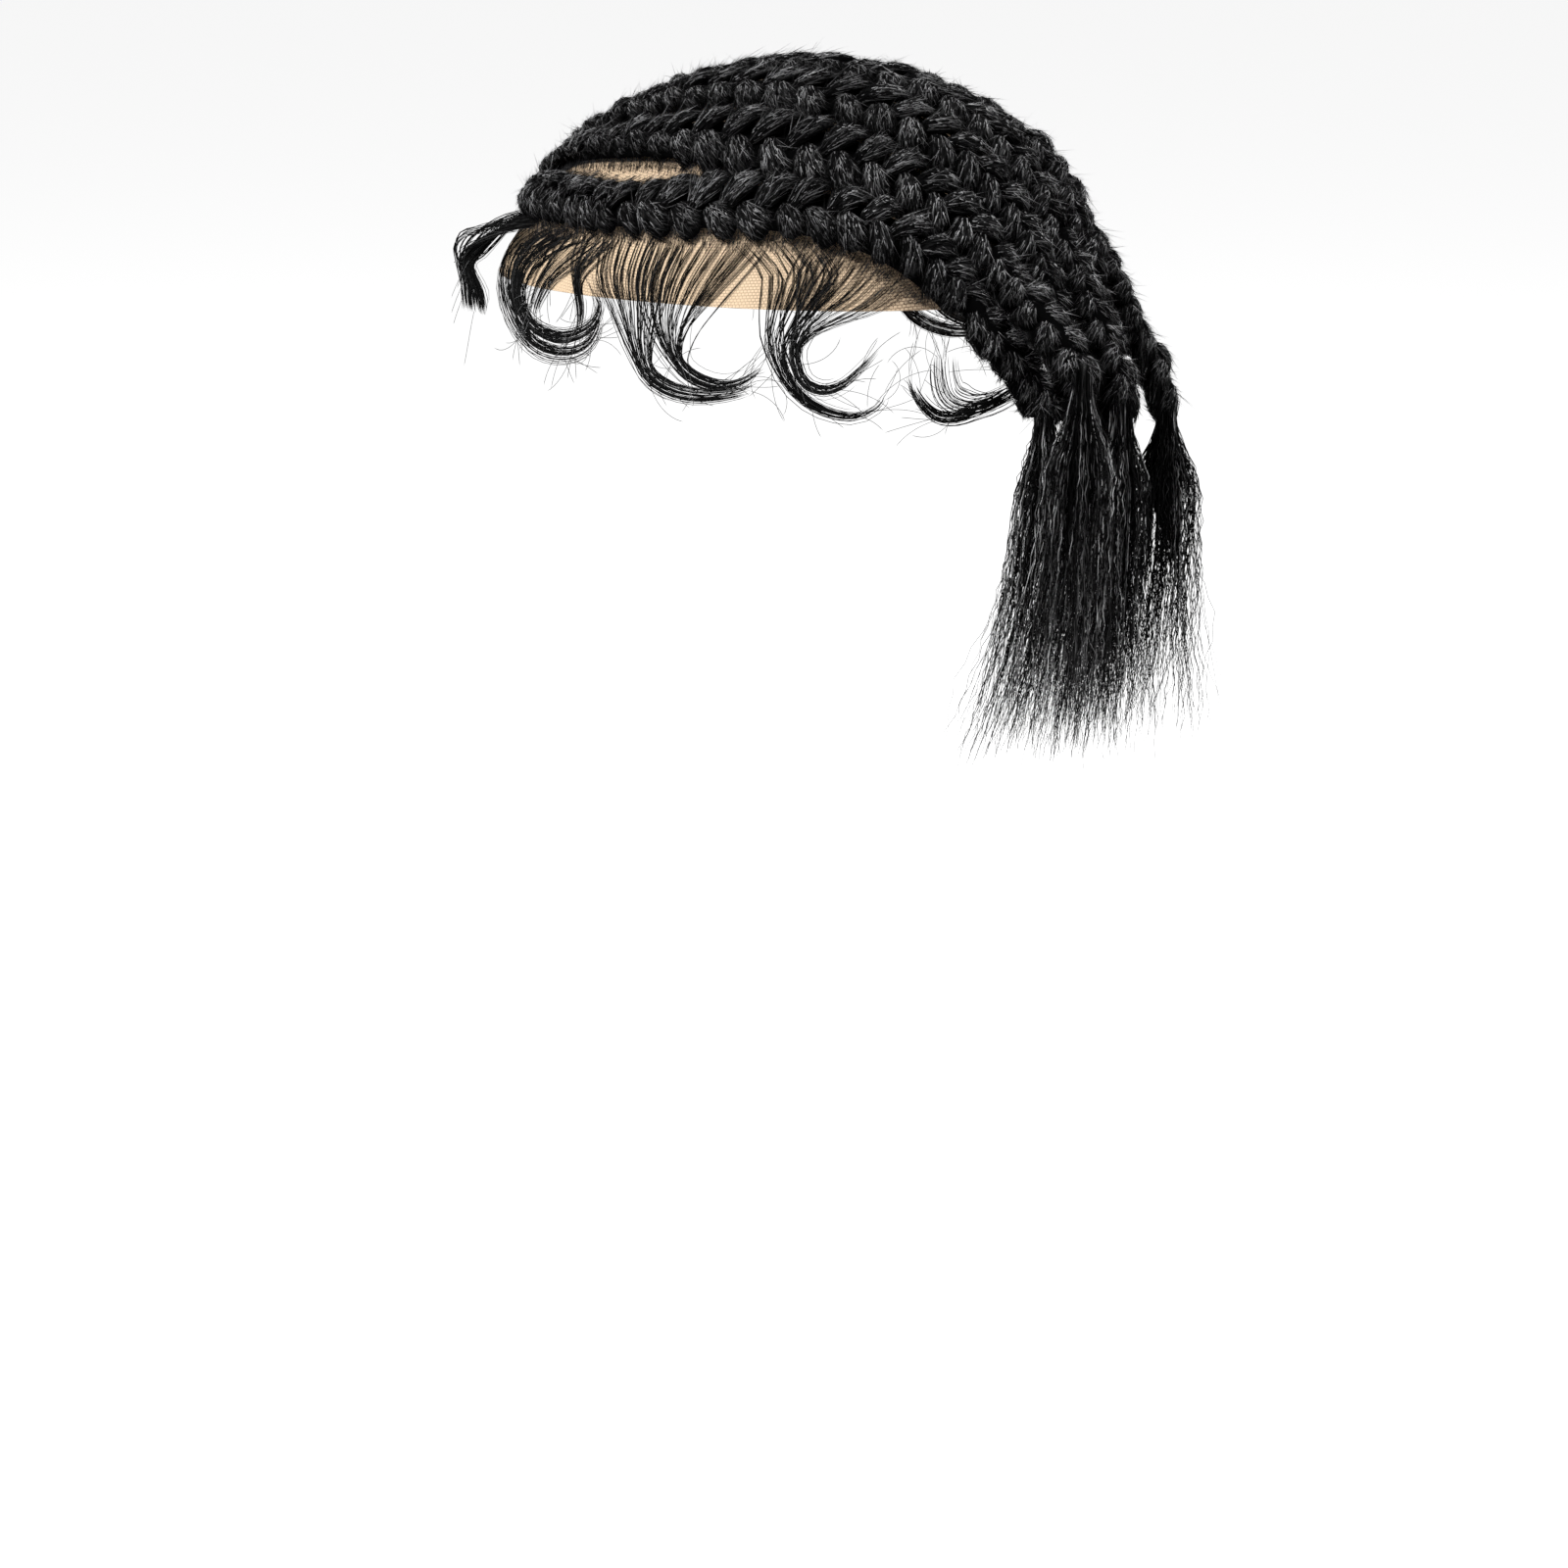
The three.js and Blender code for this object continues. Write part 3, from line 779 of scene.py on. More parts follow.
def braid_lobes(track, seed):
    """Lobes of a braid: both columns on the face that shows, and on the back of the free plait.

    A lobe comes up from under the other column at the middle of the braid and runs outward and back
    over its rounded section to its side."""
    past_middle, side_bulge, side_lean = 0.12, 0.7, 0.9
    wide_share = 0.42
    bluntness, least_end = 8, 0.04
    rng = np.random.default_rng(seed)
    centre, side, face = lobe_columns(track)
    count = len(centre)
    t = LOBE_RUN[None, :]
    pitch = track.size("pitch", centre)[:, None] * rng.uniform(*LOBE_PITCHES, (count, 1))
    shift = rng.normal(0, LOBE_SHIFT, (count, 1)) * pitch
    lean = rng.normal(1, LOBE_LEAN, (count, 1))
    distance = np.clip(centre[:, None] + shift + pitch * lean * (t - 0.5) * face, 0, track.length)
    width = track.size("width", distance)
    height = track.size("height", distance) * rng.uniform(*LOBE_HEIGHTS, (count, 1))
    free = ramp(distance - track.leaves, *COMES_FREE)
    thick = (BOUND_THICK + (FREE_THICK - BOUND_THICK) * free) * height
    begin = -past_middle * width
    edge = width / 2 + lobe_spill(track, distance, side) - track.trim(distance, side)
    end = edge - side_bulge * thick
    aside = side * (begin + (end - begin) * np.sin(t * np.pi / 2) ** 0.9)
    bound_rise = lobe_form("bound") * height
    free_rise = height / 2 + face * lobe_form("free") * height
    middle = track.place(distance, aside, bound_rise * (1 - free) + free_rise * free)
    along = unit(np.gradient(middle, axis=1))
    sideways = side_lean * side * ramp(t, 0.3, 1)
    up = track.direction("up", distance) * face[..., None]
    across = unit(np.cross(up + track.direction("aside", distance) * sideways[..., None], along))
    out = np.cross(along, across)
    blunt = np.sqrt(np.clip(1 - (2 * t - 1) ** bluntness, least_end, 1))
    half_wide = wide_share * pitch * lobe_form("wide") * blunt
    half_thick = thick * lobe_form("thick") * blunt
    area = pitch[:, 0] * (width.mean(axis=1) / 2 + height.mean(axis=1))
    shine = rng.uniform(*LOBE_SHINES, count)
    return Lobes(centre, middle, across * half_wide[..., None], out * half_thick[..., None], area, shine)


def pick(lobes, chosen):
    """The lobes that are marked as chosen."""
    return Lobes(*[column[chosen] for column in lobes])


def between(columns, index, t):
    """Values of lobes at shares t of their run, taken between the rings."""
    low = np.clip(np.searchsorted(LOBE_RUN, t, side="right") - 1, 0, len(LOBE_RUN) - 2)
    part = ((t - LOBE_RUN[low]) / (LOBE_RUN[low + 1] - LOBE_RUN[low]))[..., None]
    return columns[index, low] * (1 - part) + columns[index, low + 1] * part


def belly(t):
    """How much painted highlight a lobe gets along its run: most on its belly, little at its ends."""
    return ramp(t, 0.1, 0.4) * (1 - 0.85 * ramp(t, 0.62, 0.92))


def lobe_cores(bundle, lobes):
    """Streaked dark bodies of the lobes, with a highlight painted along the crest of the belly."""
    master = spindle(sides=12, stations=len(LOBE_RUN))
    # Painted highlight: the top of each core is painted lighter on its belly, its sides and underside stay
    # dark
    crest_highlight = np.clip(master.offset[:, 1], 0, 1) * belly(LOBE_RUN[master.station])
    tones_and_highlights = lobes.shine[:, None] * crest_highlight[None, :]
    bundle.add(master, lobes.middle, CORE_SHARE * lobes.across, CORE_SHARE * lobes.out, tones_and_highlights, CORE)


def comb_fibres(bundle, lobes, settings, rng):
    """Short frizzy fibres combed along the lobes, their tips off the surface and past the blunt ends."""
    usual_area, least_share, most_share = 190, 0.25, 1.3
    last_root, shortest, longest = 0.82, 0.2, 0.46
    to_side, twist = 1.4, 0.3
    stray_share, stray_lift, stray_radius = 0.24, 2.8, 0.7
    before_end = 0.9
    share = np.clip((lobes.area / usual_area) ** 0.8, least_share, most_share)
    counts = np.round(settings.fibres_per_lobe * share).astype(int)
    index = np.repeat(np.arange(len(counts)), counts)[:, None]
    count = len(index)
    root = rng.uniform(0, last_root, (count, 1))
    t = root + rng.uniform(shortest, longest, (count, 1)) * ROOT_TO_TIP
    angle = rng.uniform(-to_side, to_side, (count, 1)) + rng.normal(0, twist, (count, 1)) * ROOT_TO_TIP
    stray = rng.random((count, 1)) < stray_share
    lift = np.abs(rng.normal(0, settings.frizz / MM, (count, 1))) * np.where(stray, stray_lift, 1)
    # Past the blunt end of a lobe the fibres keep the form that it has just before the end
    form = np.minimum(t, before_end)
    round_out = (
        between(lobes.across, index, form) * np.sin(angle)[..., None]
        + between(lobes.out, index, form) * np.cos(angle)[..., None]
    )
    radial = unit(round_out)
    middle = between(lobes.middle, index, t) + round_out + radial * (lift * ROOT_TO_TIP)[..., None]
    thickness = rng.uniform(*FIBRE_RADII, (count, 1)) * np.where(stray, stray_radius, 1)
    radius = settings.fibre_radius / MM * thickness
    # Painted highlight: fibres on the outer side of a lobe's belly are painted light, those turned in under
    # it stay dark
    facing = np.clip(1.35 * np.cos(angle[:, 0]) - 0.35, 0, 1)
    painted_highlight = belly(t.mean(axis=1)) * facing * lobes.shine[index[:, 0]]
    tones_and_highlights = fibre_tones(count, settings.shine, rng) * painted_highlight
    bundle.add_strands(spike(), middle, radial, radius[..., None], tones_and_highlights)


def fibre_tones(count, shine, rng):
    """Tones of fibres: a share of them are painted with a highlight and the rest stay dark."""
    bright = rng.random(count) < shine
    return np.where(bright, rng.uniform(*HIGHLIGHT_TONES, count), rng.uniform(*DARK_TONES, count))


def braid_bed(bundle, track, low, high, bed):
    """Dark hair under the lobes of a stretch of braid, drawn in at the neck."""
    stations = 44
    drawn_in = 0.7
    distance = np.linspace(low, high, stations)[None, :]
    height = track.size("height", distance)
    left = track.trim(distance, -1)
    right = track.trim(distance, 1)
    middle = track.place(distance, (left - right) / 2, bed.rise * height)
    half = bed.wide * track.size("width", distance) - np.maximum(left + right, 0) / 2
    to_neck = 1 - drawn_in * ramp(distance - track.length, -16, -6)
    across = track.direction("aside", distance) * (half * to_neck)[..., None]
    out = track.direction("up", distance) * (bed.tall * height * to_neck)[..., None]
    bundle.add(spindle(8, stations), middle, across, out, np.zeros(1), CORE)


def root_hairs(bundle, track, row, settings, rng):
    """Short hairs drawn from the lace into the edges of a row."""
    off_edge, under_lobes = 0.4, 1.8
    root_rise, tip_lift = -0.62, 2.4
    off_rim = 1
    for side in (-1.0, 1.0):
        # The row's aside points to the wearer's right, so the left hairline is on its negative side
        at_hairline = row.share * side <= -1
        part_end = np.interp(PART_CLOSES[1], track.over, track.distance)
        reach = track.leaves if at_hairline else part_end
        hairs_per_mm, spread = (6, 4.5) if at_hairline else (5, 2.8)
        count = int(reach * hairs_per_mm)
        away = off_edge + spread * rng.random((count, 1)) ** 2
        root = rng.uniform(0, reach, (count, 1))
        swept = rng.uniform(-0.6, 2.6, (count, 1))
        distance = np.clip(root + swept * ROOT_TO_TIP, 0, track.leaves)
        half = track.size("width", distance) / 2 - track.trim(distance, side)
        aside = side * (half + away * (1 - ROOT_TO_TIP) - under_lobes * ROOT_TO_TIP)
        rise = np.broadcast_to(root_rise + tip_lift * ROOT_TO_TIP, aside.shape)
        middle = track.place(distance, aside, rise)
        up = unit(track.direction("up", distance))
        radius = settings.fibre_radius / MM * rng.uniform(0.4, 0.7, (count, 1, 1))
        # Their tone paints a faint highlight on them
        tones_and_highlights = rng.uniform(*FAINT_HIGHLIGHT_TONES, count)
        on_lace = middle[:, 0, 2] > RIM_Z + off_rim
        bundle.add_strands(spike(), *[column[on_lace] for column in (middle, up, radius, tones_and_highlights)])


def make_cornrow(row, seed, settings, materials):
    """The stretch of a braid that lies on the base."""
    track = Track(row)
    rng = np.random.default_rng(seed)
    bundle = Bundle()
    lobes = braid_lobes(track, seed)
    lobes = pick(lobes, lobes.centre < track.leaves)
    braid_bed(bundle, track, 1, track.leaves, ROW_BED)
    lobe_cores(bundle, lobes)
    comb_fibres(bundle, lobes, settings, rng)
    root_hairs(bundle, track, row, settings, rng)
    piece = bundle.piece(f"braided_row_{row.name}", materials)
    settle(piece, f"cornrow_{row.name}")


def brush_place(row, flow):
    """Middle of a loose brush at shares of its length from its top."""
    neck = np.array(row.neck, float)
    tip = np.array(row.tip, float)
    middle = neck + (tip - neck) * (flow ** 2)[..., None]
    top = neck[2] + BRUSH_TOP
    middle[..., 2] = top + (tip[2] - top) * flow
    return middle


def level_direction(turn):
    """Level directions at angles round a brush."""
    return np.stack([np.cos(turn), np.sin(turn), np.zeros_like(turn)], axis=-1)


def brush_locks(bundle, row, rng):
    """Dark hair inside the loose brush, thinning out downward."""
    count = 9
    stations = 10
    out_share, thick_share = 0.26, 0.13
    run = np.linspace(0, 1, stations)[None, :]
    flow = run * rng.uniform(0.3, 0.58, (count, 1))
    turn = (np.arange(count) / count * 2 * np.pi + row.share)[:, None]
    swell = np.sin(np.minimum(0.2 + flow * 2.6, 1) * np.pi / 2)
    out = level_direction(turn)
    middle = brush_place(row, flow) + out * (row.girth * out_share * swell)[..., None]
    thick = row.girth * thick_share * swell * (1 - 0.97 * run ** 1.3)
    bundle.add_strands(spindle(8, stations), middle, out, thick[..., None], np.zeros(count), CORE)


def brush_paths(row, settings, run, rng):
    """Angles round the brush of its loose strands, and their crimped paths to ragged tips."""
    count = settings.strands
    above_top, shortest = 0.09, 0.38
    neck_spread, full_spread = 0.42 * NECK_WIDTH, 0.62 * row.girth
    drift_spread, swing_spread = 5, 0.9
    turn = rng.uniform(0, 2 * np.pi, (count, 1))
    outer = np.sqrt(rng.random((count, 1)))
    top = row.neck[2] + BRUSH_TOP
    longest = (BRUSH_END - top) / (row.tip[2] - top)
    length = shortest + (longest - shortest) * rng.random((count, 1)) ** 0.6
    flow = run * (length + above_top) - above_top
    middle = brush_place(row, flow)
    spread = neck_spread + (full_spread - neck_spread) * ramp(flow, 0, 0.26)
    reach = outer * spread * (1 + 0.3 * flow ** 2)
    drift = rng.normal(0, drift_spread, (count, 1, 2)) * (flow * ramp(flow, 0.1, 1))[..., None]
    swing = rng.normal(0, swing_spread, (count, 1)) * (1 + 1.8 * flow ** 2)
    sway = swing * np.sin(flow * rng.uniform(4, 12, (count, 1)))
    middle += level_direction(turn) * (reach + sway)[..., None]
    middle[..., :2] += drift
    by_turns = np.where(np.arange(run.size) % 2 == 0, 1.0, -1.0)
    zigzag = by_turns * rng.uniform(0.4, 1.4, (count, run.size))
    bend = rng.uniform(0, 2 * np.pi, (count, 1))
    depth = settings.crimp / MM * zigzag * ramp(flow, 0, 0.06)
    middle += level_direction(bend) * depth[..., None]
    return turn, middle


def brush_strands(bundle, row, settings, shine, rng):
    """Loose strands that spread from the neck, thinner towards their tips."""
    count = settings.strands
    stations = 24
    locks = 18
    run = np.linspace(0, 1, stations)[None, :]
    turn, middle = brush_paths(row, settings, run, rng)
    thin = 1 - 0.6 * run[..., None] ** 2
    radius = settings.strand_radius / MM * rng.uniform(0.7, 1.25, (count, 1, 1)) * thin
    # Painted highlights: some locks of the brush are painted lighter than others, and every strand has
    # painted glints here and there
    master = spindle(3, stations)
    lock_sheen = 0.1 + 1.9 * rng.random(locks) ** 2
    sheen = lock_sheen[(turn / (2 * np.pi) * locks).astype(int)]
    glints = sheen * (0.08 + 2.1 * rng.random((count, stations)) ** 3)
    tones_and_highlights = fibre_tones(count, shine, rng)[:, None] * glints[:, master.station]
    bundle.add_strands(master, middle, level_direction(turn), radius, tones_and_highlights)


def make_tail(row, seed, braid, tail, materials):
    """Free plait below the base and the loose brush that it ends in."""
    track = Track(row)
    rng = np.random.default_rng(TAIL_SEED + seed)
    bundle = Bundle()
    lobes = braid_lobes(track, seed)
    lobes = pick(lobes, lobes.centre >= track.leaves)
    tucked_in = 4
    braid_bed(bundle, track, track.leaves - tucked_in, track.length, PLAIT_BED)
    lobe_cores(bundle, lobes)
    comb_fibres(bundle, lobes, braid, rng)
    brush_locks(bundle, row, rng)
    brush_strands(bundle, row, tail, braid.shine, rng)
    piece = bundle.piece(f"braid_tail_{row.name}", materials)
    settle(piece, f"tail_{row.name}")


# Edge curls

# Places along a row's edge at which it is measured, shares of a curl's run over which its strands reach
# their full width, and the first seed of the curls
EDGE_STEPS = 80
FULL_BY = (0, 0.4)
CURL_SEED = 40


def band_column(band, column, t):
    """A column of a band's table at shares t of its run."""
    steps = np.linspace(0, 1, len(band.places))
    return look_up(steps, [getattr(place, column) for place in band.places], t)


def band_middle(band, t):
    """Angle around the dome, drop and rise of a band's middle at shares t of its run."""
    return [band_column(band, column, t) for column in ("around", "drop", "rise")]


def off_dome(points, rise):
    """Directions straight off the dome at points of a given rise."""
    return unit(on_dome(points, rise + 1) - on_dome(points, rise))


def hairline():
    """Angles around the dome of the outermost row's lower edge, and its drop below the crown."""
    track = Track(ROWS[0])
    distance = np.linspace(0, track.leaves, EDGE_STEPS)
    half = track.size("width", distance) / 2 - track.trim(distance, -1)
    on_base = BASE_WALL + 0.1 - ROW_SEAT
    edge = track.place(distance, -half, np.full(EDGE_STEPS, on_base))
    high = (edge[:, 2] + DOME_HEIGHT) / DOME_HEIGHT
    back = edge[:, 1] - CROWN_SHIFT * (high * high - 1)
    return np.degrees(np.arctan2(edge[:, 0], -back)), -edge[:, 2]


def root_drop(band, root, edge, rng):
    """Drops below the crown at which strands root: along the hairline, or at a band's own start."""
    start = band.places[0].drop
    hairline_end = edge[1].max()
    along_edge = np.interp(root, *edge) + 1
    return np.where(start > hairline_end, start, along_edge) + rng.uniform(-2.5, 1, root.shape)


def band_paths(band, edge, settings, run, rng):
    """Shares of a band's run at the stations of its strands, the directions off the dome, and their paths.

    Small locks root along the hairline, draw together into the band and hook at its tip."""
    lock = np.repeat(np.arange(band.locks), settings.lock_strands)
    count = len(lock)
    ragged, loose_share = (0.08, 0.1) if band.stand else (0.34, 0.24)
    lock_spread, loose_spread = 0.12, 1.3
    arch_limit = 0.5
    off_base = 0.2

    def by_lock(values):
        """A value of every lock, for each of its strands."""
        return values[lock][:, None]

    end = by_lock(1 - ragged * rng.random(band.locks) ** 2) - 0.3 * ragged * rng.random((count, 1)) ** 2
    t = end * run
    share = (np.arange(band.locks) + rng.uniform(0.1, 0.9, band.locks)) / band.locks
    first, last = band.roots
    root = by_lock(first + (last - first) * share) + rng.normal(0, 0.07, (count, 1))
    # From their roots along the hairline the locks fan in to the band
    fan = 1 - smooth(t / by_lock(rng.uniform(0.38, 0.56, band.locks)))
    around, drop, rise = band_middle(band, t)
    around = around + (root - band.places[0].around) * fan
    drop = drop + (root_drop(band, root, edge, rng) - band.places[0].drop) * fan
    middle = around_dome(around, drop, rise)
    along = unit(np.gradient(middle, axis=1))
    out = off_dome(middle, rise)
    aside = unit(np.cross(out, along))
    # Across the band each lock keeps its own place, with a slow wander, and a few strands come loose
    own = np.clip(2 * share - 1 + rng.normal(0, 0.12, band.locks), -1.1, 1.1)
    wave = by_lock(rng.uniform(3, 7, band.locks))
    phase = by_lock(rng.uniform(0, 6, band.locks))
    wander = by_lock(rng.normal(0, 0.08, band.locks)) * np.sin(t * wave + phase)
    offset = (by_lock(own) + wander) * band_column(band, "width", t) / 2 * (1 - 0.75 * fan)
    loose = rng.random((count, 1)) < loose_share
    apart = np.where(loose, rng.normal(0, loose_spread, (count, 1)), rng.normal(0, lock_spread, (count, 1)))
    offset = offset + apart * ramp(t, *FULL_BY) * (1 - 0.5 * t)
    arch = rng.uniform(0, arch_limit, (count, 1)) * np.sin(np.pi * np.clip(t * 1.1, 0, 1))
    flat = middle + aside * ((1 - band.stand) * offset)[..., None]
    lift = np.maximum(rise + arch + band.stand * offset, BASE_WALL + off_base)
    return t, out, on_dome(flat, lift)


def band_strands(bundle, band, edge, settings, rng):
    """Combed strands of a band, thinner at their roots and tips, and a few of them painted paler as a faint
    highlight.
    """
    stations = 17
    highlighted_share, usual_tone = 0.2, 0.01
    t, out, middle = band_paths(band, edge, settings, np.linspace(0, 1, stations)[None, :], rng)
    count = len(middle)
    thin = (0.75 + 0.25 * ramp(t, *FULL_BY)) * (1 - 0.4 * t ** 2)
    radius = settings.strand_radius / MM * rng.uniform(*FIBRE_RADII, (count, 1, 1)) * thin[..., None]
    highlighted = rng.random(count) < highlighted_share
    tones_and_highlights = np.where(highlighted, rng.uniform(*FAINT_HIGHLIGHT_TONES, count), usual_tone)
    bundle.add_strands(spindle(3, stations), middle, out, radius, tones_and_highlights)


def flyaways(bundle, band, settings, rng):
    """Single curly strands that stray from a band."""
    count = settings.flyaways // 5 if band.stand else settings.flyaways
    stations = 14
    a_little = 0.02
    heading_spread, bend_spread, tightening = 0.5, 0.055, 0.0012
    t = rng.uniform(0.3, 0.97, count)
    start = around_dome(*band_middle(band, t))
    along = unit(around_dome(*band_middle(band, t + a_little)) - start)
    rise = band_column(band, "rise", t)
    out = off_dome(start, rise)
    aside = np.cross(out, along)
    length = rng.uniform(7, 22, (count, 1))
    bend = rng.normal(0, bend_spread, (count, 1))
    heading = rng.normal(0, heading_spread, (count, 1))
    reach = length * np.linspace(0, 1, stations)[None, :]
    turn = heading + bend * reach + rng.normal(0, tightening, (count, 1)) * reach ** 2
    step = length / (stations - 1)
    ahead_by = np.cumsum(np.cos(turn), axis=1) * step
    aside_by = np.cumsum(np.sin(turn), axis=1) * step
    flat = start[:, None] + along[:, None] * ahead_by[..., None] + aside[:, None] * aside_by[..., None]
    lift = rise[:, None] + rng.uniform(0.2, 3.2, (count, 1)) * reach / length
    radius = 0.8 * settings.strand_radius / MM
    tones_and_highlights = rng.uniform(0, 0.3, count)
    bundle.add_strands(spindle(3, stations), on_dome(flat, lift), out[:, None], radius, tones_and_highlights)


def mirror_across(piece):
    """Turns a left piece into a right one, its faces still outward."""
    mesh = piece.data
    places = np.empty(len(mesh.vertices) * 3)
    mesh.vertices.foreach_get("co", places)
    places[0::3] *= -1
    mesh.vertices.foreach_set("co", places)
    mesh.flip_normals()
    mesh.update()


def make_curl(curl, side, seed, edge, settings, material):
    """One swept curl of the hairline, on the left or mirrored to the right."""
    rng = np.random.default_rng(seed)
    bundle = Bundle()
    for band in curl.bands:
        band_strands(bundle, band, edge, settings, rng)
        flyaways(bundle, band, settings, rng)
    piece = bundle.piece(f"edge_curl_{side}_{curl.name}", [material])
    if side == "right":
        mirror_across(piece)
    settle(piece, f"curl_{side}_{curl.name}")


# Lace base

def row_edges(points):
    """How near points of the base are to the edge of a row, as a share from 0 to 1."""
    fades_over = 5
    near = np.zeros(len(points))
    for row in ROWS:
        track = Track(row)
        distance = np.linspace(0, track.leaves, EDGE_STEPS)
        apart = points[:, None] - track.direction("middle", distance)[None]
        reach = np.linalg.norm(apart, axis=2)
        nearest = reach.argmin(axis=1)
        at = distance[nearest]
        nearest_apart = apart[np.arange(len(points)), nearest]
        side = np.sign((nearest_apart * track.direction("aside", at)).sum(axis=1))
        half = track.size("width", at) / 2 - track.trim(at, side)
        near = np.maximum(near, 1 - np.clip((reach.min(axis=1) - half) / fades_over, 0, 1))
    return near


def back_corner(points):
    """How near points of the base are to its back corners, where the net shows darkest."""
    corner, spread = 150, 11
    around = np.degrees(np.arctan2(np.abs(points[:, 0]), -points[:, 1] - CROWN_SHIFT))
    return np.exp(-((around - corner) / spread) ** 2) * ramp(-points[:, 2], 42, 52)


def add_values(mesh, name, values):
    """Gives every point of a mesh a value under a name."""
    attribute = mesh.attributes.new(name, "FLOAT", "POINT")
    attribute.data.foreach_set("value", values)


def make_lace(material):
    """Dome of net from the crown to the cut rim, hollow below."""
    bpy.ops.mesh.primitive_uv_sphere_add(segments=112, ring_count=84, radius=1, calc_uvs=True)
    piece = bpy.context.object
    piece.name = "lace_cap"
    mesh = piece.data
    mesh.name = "lace_cap"
    places = np.array([vertex.co for vertex in mesh.vertices])
    points = dome_point(unit(places), BASE_WALL)
    mesh.vertices.foreach_set("co", (points * MM).ravel())
    bpy.ops.object.mode_set(mode="EDIT")
    bpy.ops.mesh.select_all(action="SELECT")
    bpy.ops.mesh.bisect(plane_co=(0, 0, RIM_Z * MM), plane_no=(0, 0, 1), clear_inner=True)
    bpy.ops.object.mode_set(mode="OBJECT")
    points = np.array([vertex.co for vertex in mesh.vertices]) / MM
    add_values(mesh, "roots", row_edges(points))
    add_values(mesh, "net", back_corner(points))
    wall = piece.modifiers.new("wall", "SOLIDIFY")
    wall.thickness = BASE_WALL * MM
    wall.offset = -1
    bpy.ops.object.modifier_apply(modifier="wall")
    bpy.ops.object.shade_smooth_by_angle(angle=math.radians(40))
    mesh.materials.append(material)
    settle(piece, "lace_base")


# Shader nodes

WHITE = (1, 1, 1, 1)


def set_sockets(tree, node, sockets):
    """Sets the sockets of a node to values, or joins them to the outputs of other nodes."""
    for socket, value in sockets.items():
        if isinstance(value, bpy.types.NodeSocket):
            tree.links.new(value, node.inputs[socket])
        else:
            node.inputs[socket].default_value = value


def add_node(tree, kind, sockets, **traits):
    """New node of a kind with its traits and sockets set."""
    node = tree.nodes.new(kind)
    for trait, value in traits.items():
        setattr(node, trait, value)
    set_sockets(tree, node, sockets)
    return node


def attribute(tree, name, output="Fac"):
    """A named attribute of the piece."""
    return add_node(tree, "ShaderNodeAttribute", {}, attribute_name=name).outputs[output]


def combine(tree, operation, first, second, **traits):
    """Two values put together by a math operation."""
    node = add_node(tree, "ShaderNodeMath", {0: first, 1: second}, operation=operation, **traits)
    return node.outputs["Value"]


def map_range(tree, value, old, new=(0, 1)):
    """A value moved from its old limits to new ones."""
    limits = {"From Min": old[0], "From Max": old[1], "To Min": new[0], "To Max": new[1]}
    return add_node(tree, "ShaderNodeMapRange", {"Value": value, **limits}).outputs["Result"]


def blend(tree, share, first, second):
    """A colour between the first and the second."""
    colours = {"Factor": share, "A": first, "B": second}
    return add_node(tree, "ShaderNodeMix", colours, data_type="RGBA").outputs["Result"]


def bump(tree, height, strength, distance):
    """The normal of a surface with fine relief."""
    relief = {"Height": height, "Strength": strength, "Distance": distance}
    return add_node(tree, "ShaderNodeBump", relief).outputs["Normal"]


def opaque(colour, share=1):
    """A colour, or a darker share of it, with nothing seen through it."""
    return (*[share * value for value in colour], 1)


def new_material(name):
    """New material with its node tree and its Principled shader."""
    material = bpy.data.materials.new(name)
    material.use_nodes = True
    return material, material.node_tree, material.node_tree.nodes["Principled BSDF"]


# Finishes

def fibre_grain():
    """Fine streaks that run along combed hair: their strength, and their height for a bump."""
    group = bpy.data.node_groups.new("fibre_grain", "ShaderNodeTree")
    group.interface.new_socket("Grain", in_out="INPUT", socket_type="NodeSocketVector")
    group.interface.new_socket("Fineness", in_out="INPUT", socket_type="NodeSocketFloat")
    for label in ("Streak", "Height"):
        group.interface.new_socket(label, in_out="OUTPUT", socket_type="NodeSocketFloat")
    given = group.nodes.new("NodeGroupInput").outputs
    fine = add_node(group, "ShaderNodeTexNoise", {
        "Vector": given["Grain"], "Scale": given["Fineness"], "Detail": 3, "Roughness": 0.65,
    }).outputs["Fac"]
    sharp = map_range(group, fine, (0.3, 0.7), (0.3, 1))
    add_node(group, "NodeGroupOutput", {"Streak": sharp, "Height": fine})
    return group


def grain_streaks(tree, fineness):
    """Outputs of the streak effect along the hair of a piece."""
    group = bpy.data.node_groups.get("fibre_grain") or fibre_grain()
    sockets = {"Grain": attribute(tree, "grain", "Vector"), "Fineness": fineness}
    return add_node(tree, "ShaderNodeGroup", sockets, node_tree=group).outputs


def hair_material(name, settings, roughness):
    """Black hair with its highlights painted in: each strand's tone paints it lighter, with fine streaks
    along it, and the light ones also gleam.
    """
    material, tree, shader = new_material(name)
    grain = grain_streaks(tree, 1.9)
    # The tone blends in the Light colour as a painted highlight, streaked along the hair
    tone = combine(tree, "MULTIPLY", grain["Streak"], attribute(tree, "tone"))
    set_sockets(tree, shader, {
        "Base Color": blend(tree, tone, opaque(settings.dark), opaque(settings.light)),
        "Roughness": map_range(tree, tone, (0, 0.35), (0.8, roughness)),
        "Normal": bump(tree, grain["Height"], 1, 0.0006),
        "Specular IOR Level": 0.03,
    })
    return material


def core_material(name, settings):
    """Dark hair under the fibres, with fine streaks of painted highlight where its tone marks the lit crest
    of a lobe.
    """
    material, tree, shader = new_material(name)
    streak = map_range(tree, grain_streaks(tree, 1.5)["Height"], (0.47, 0.66))
    lit = combine(tree, "MULTIPLY", streak, attribute(tree, "tone"))
    set_sockets(tree, shader, {
        "Base Color": blend(tree, lit, opaque(settings.dark), opaque(settings.light, 0.06)),
        "Roughness": 0.9,
        "Specular IOR Level": 0,
    })
    return material


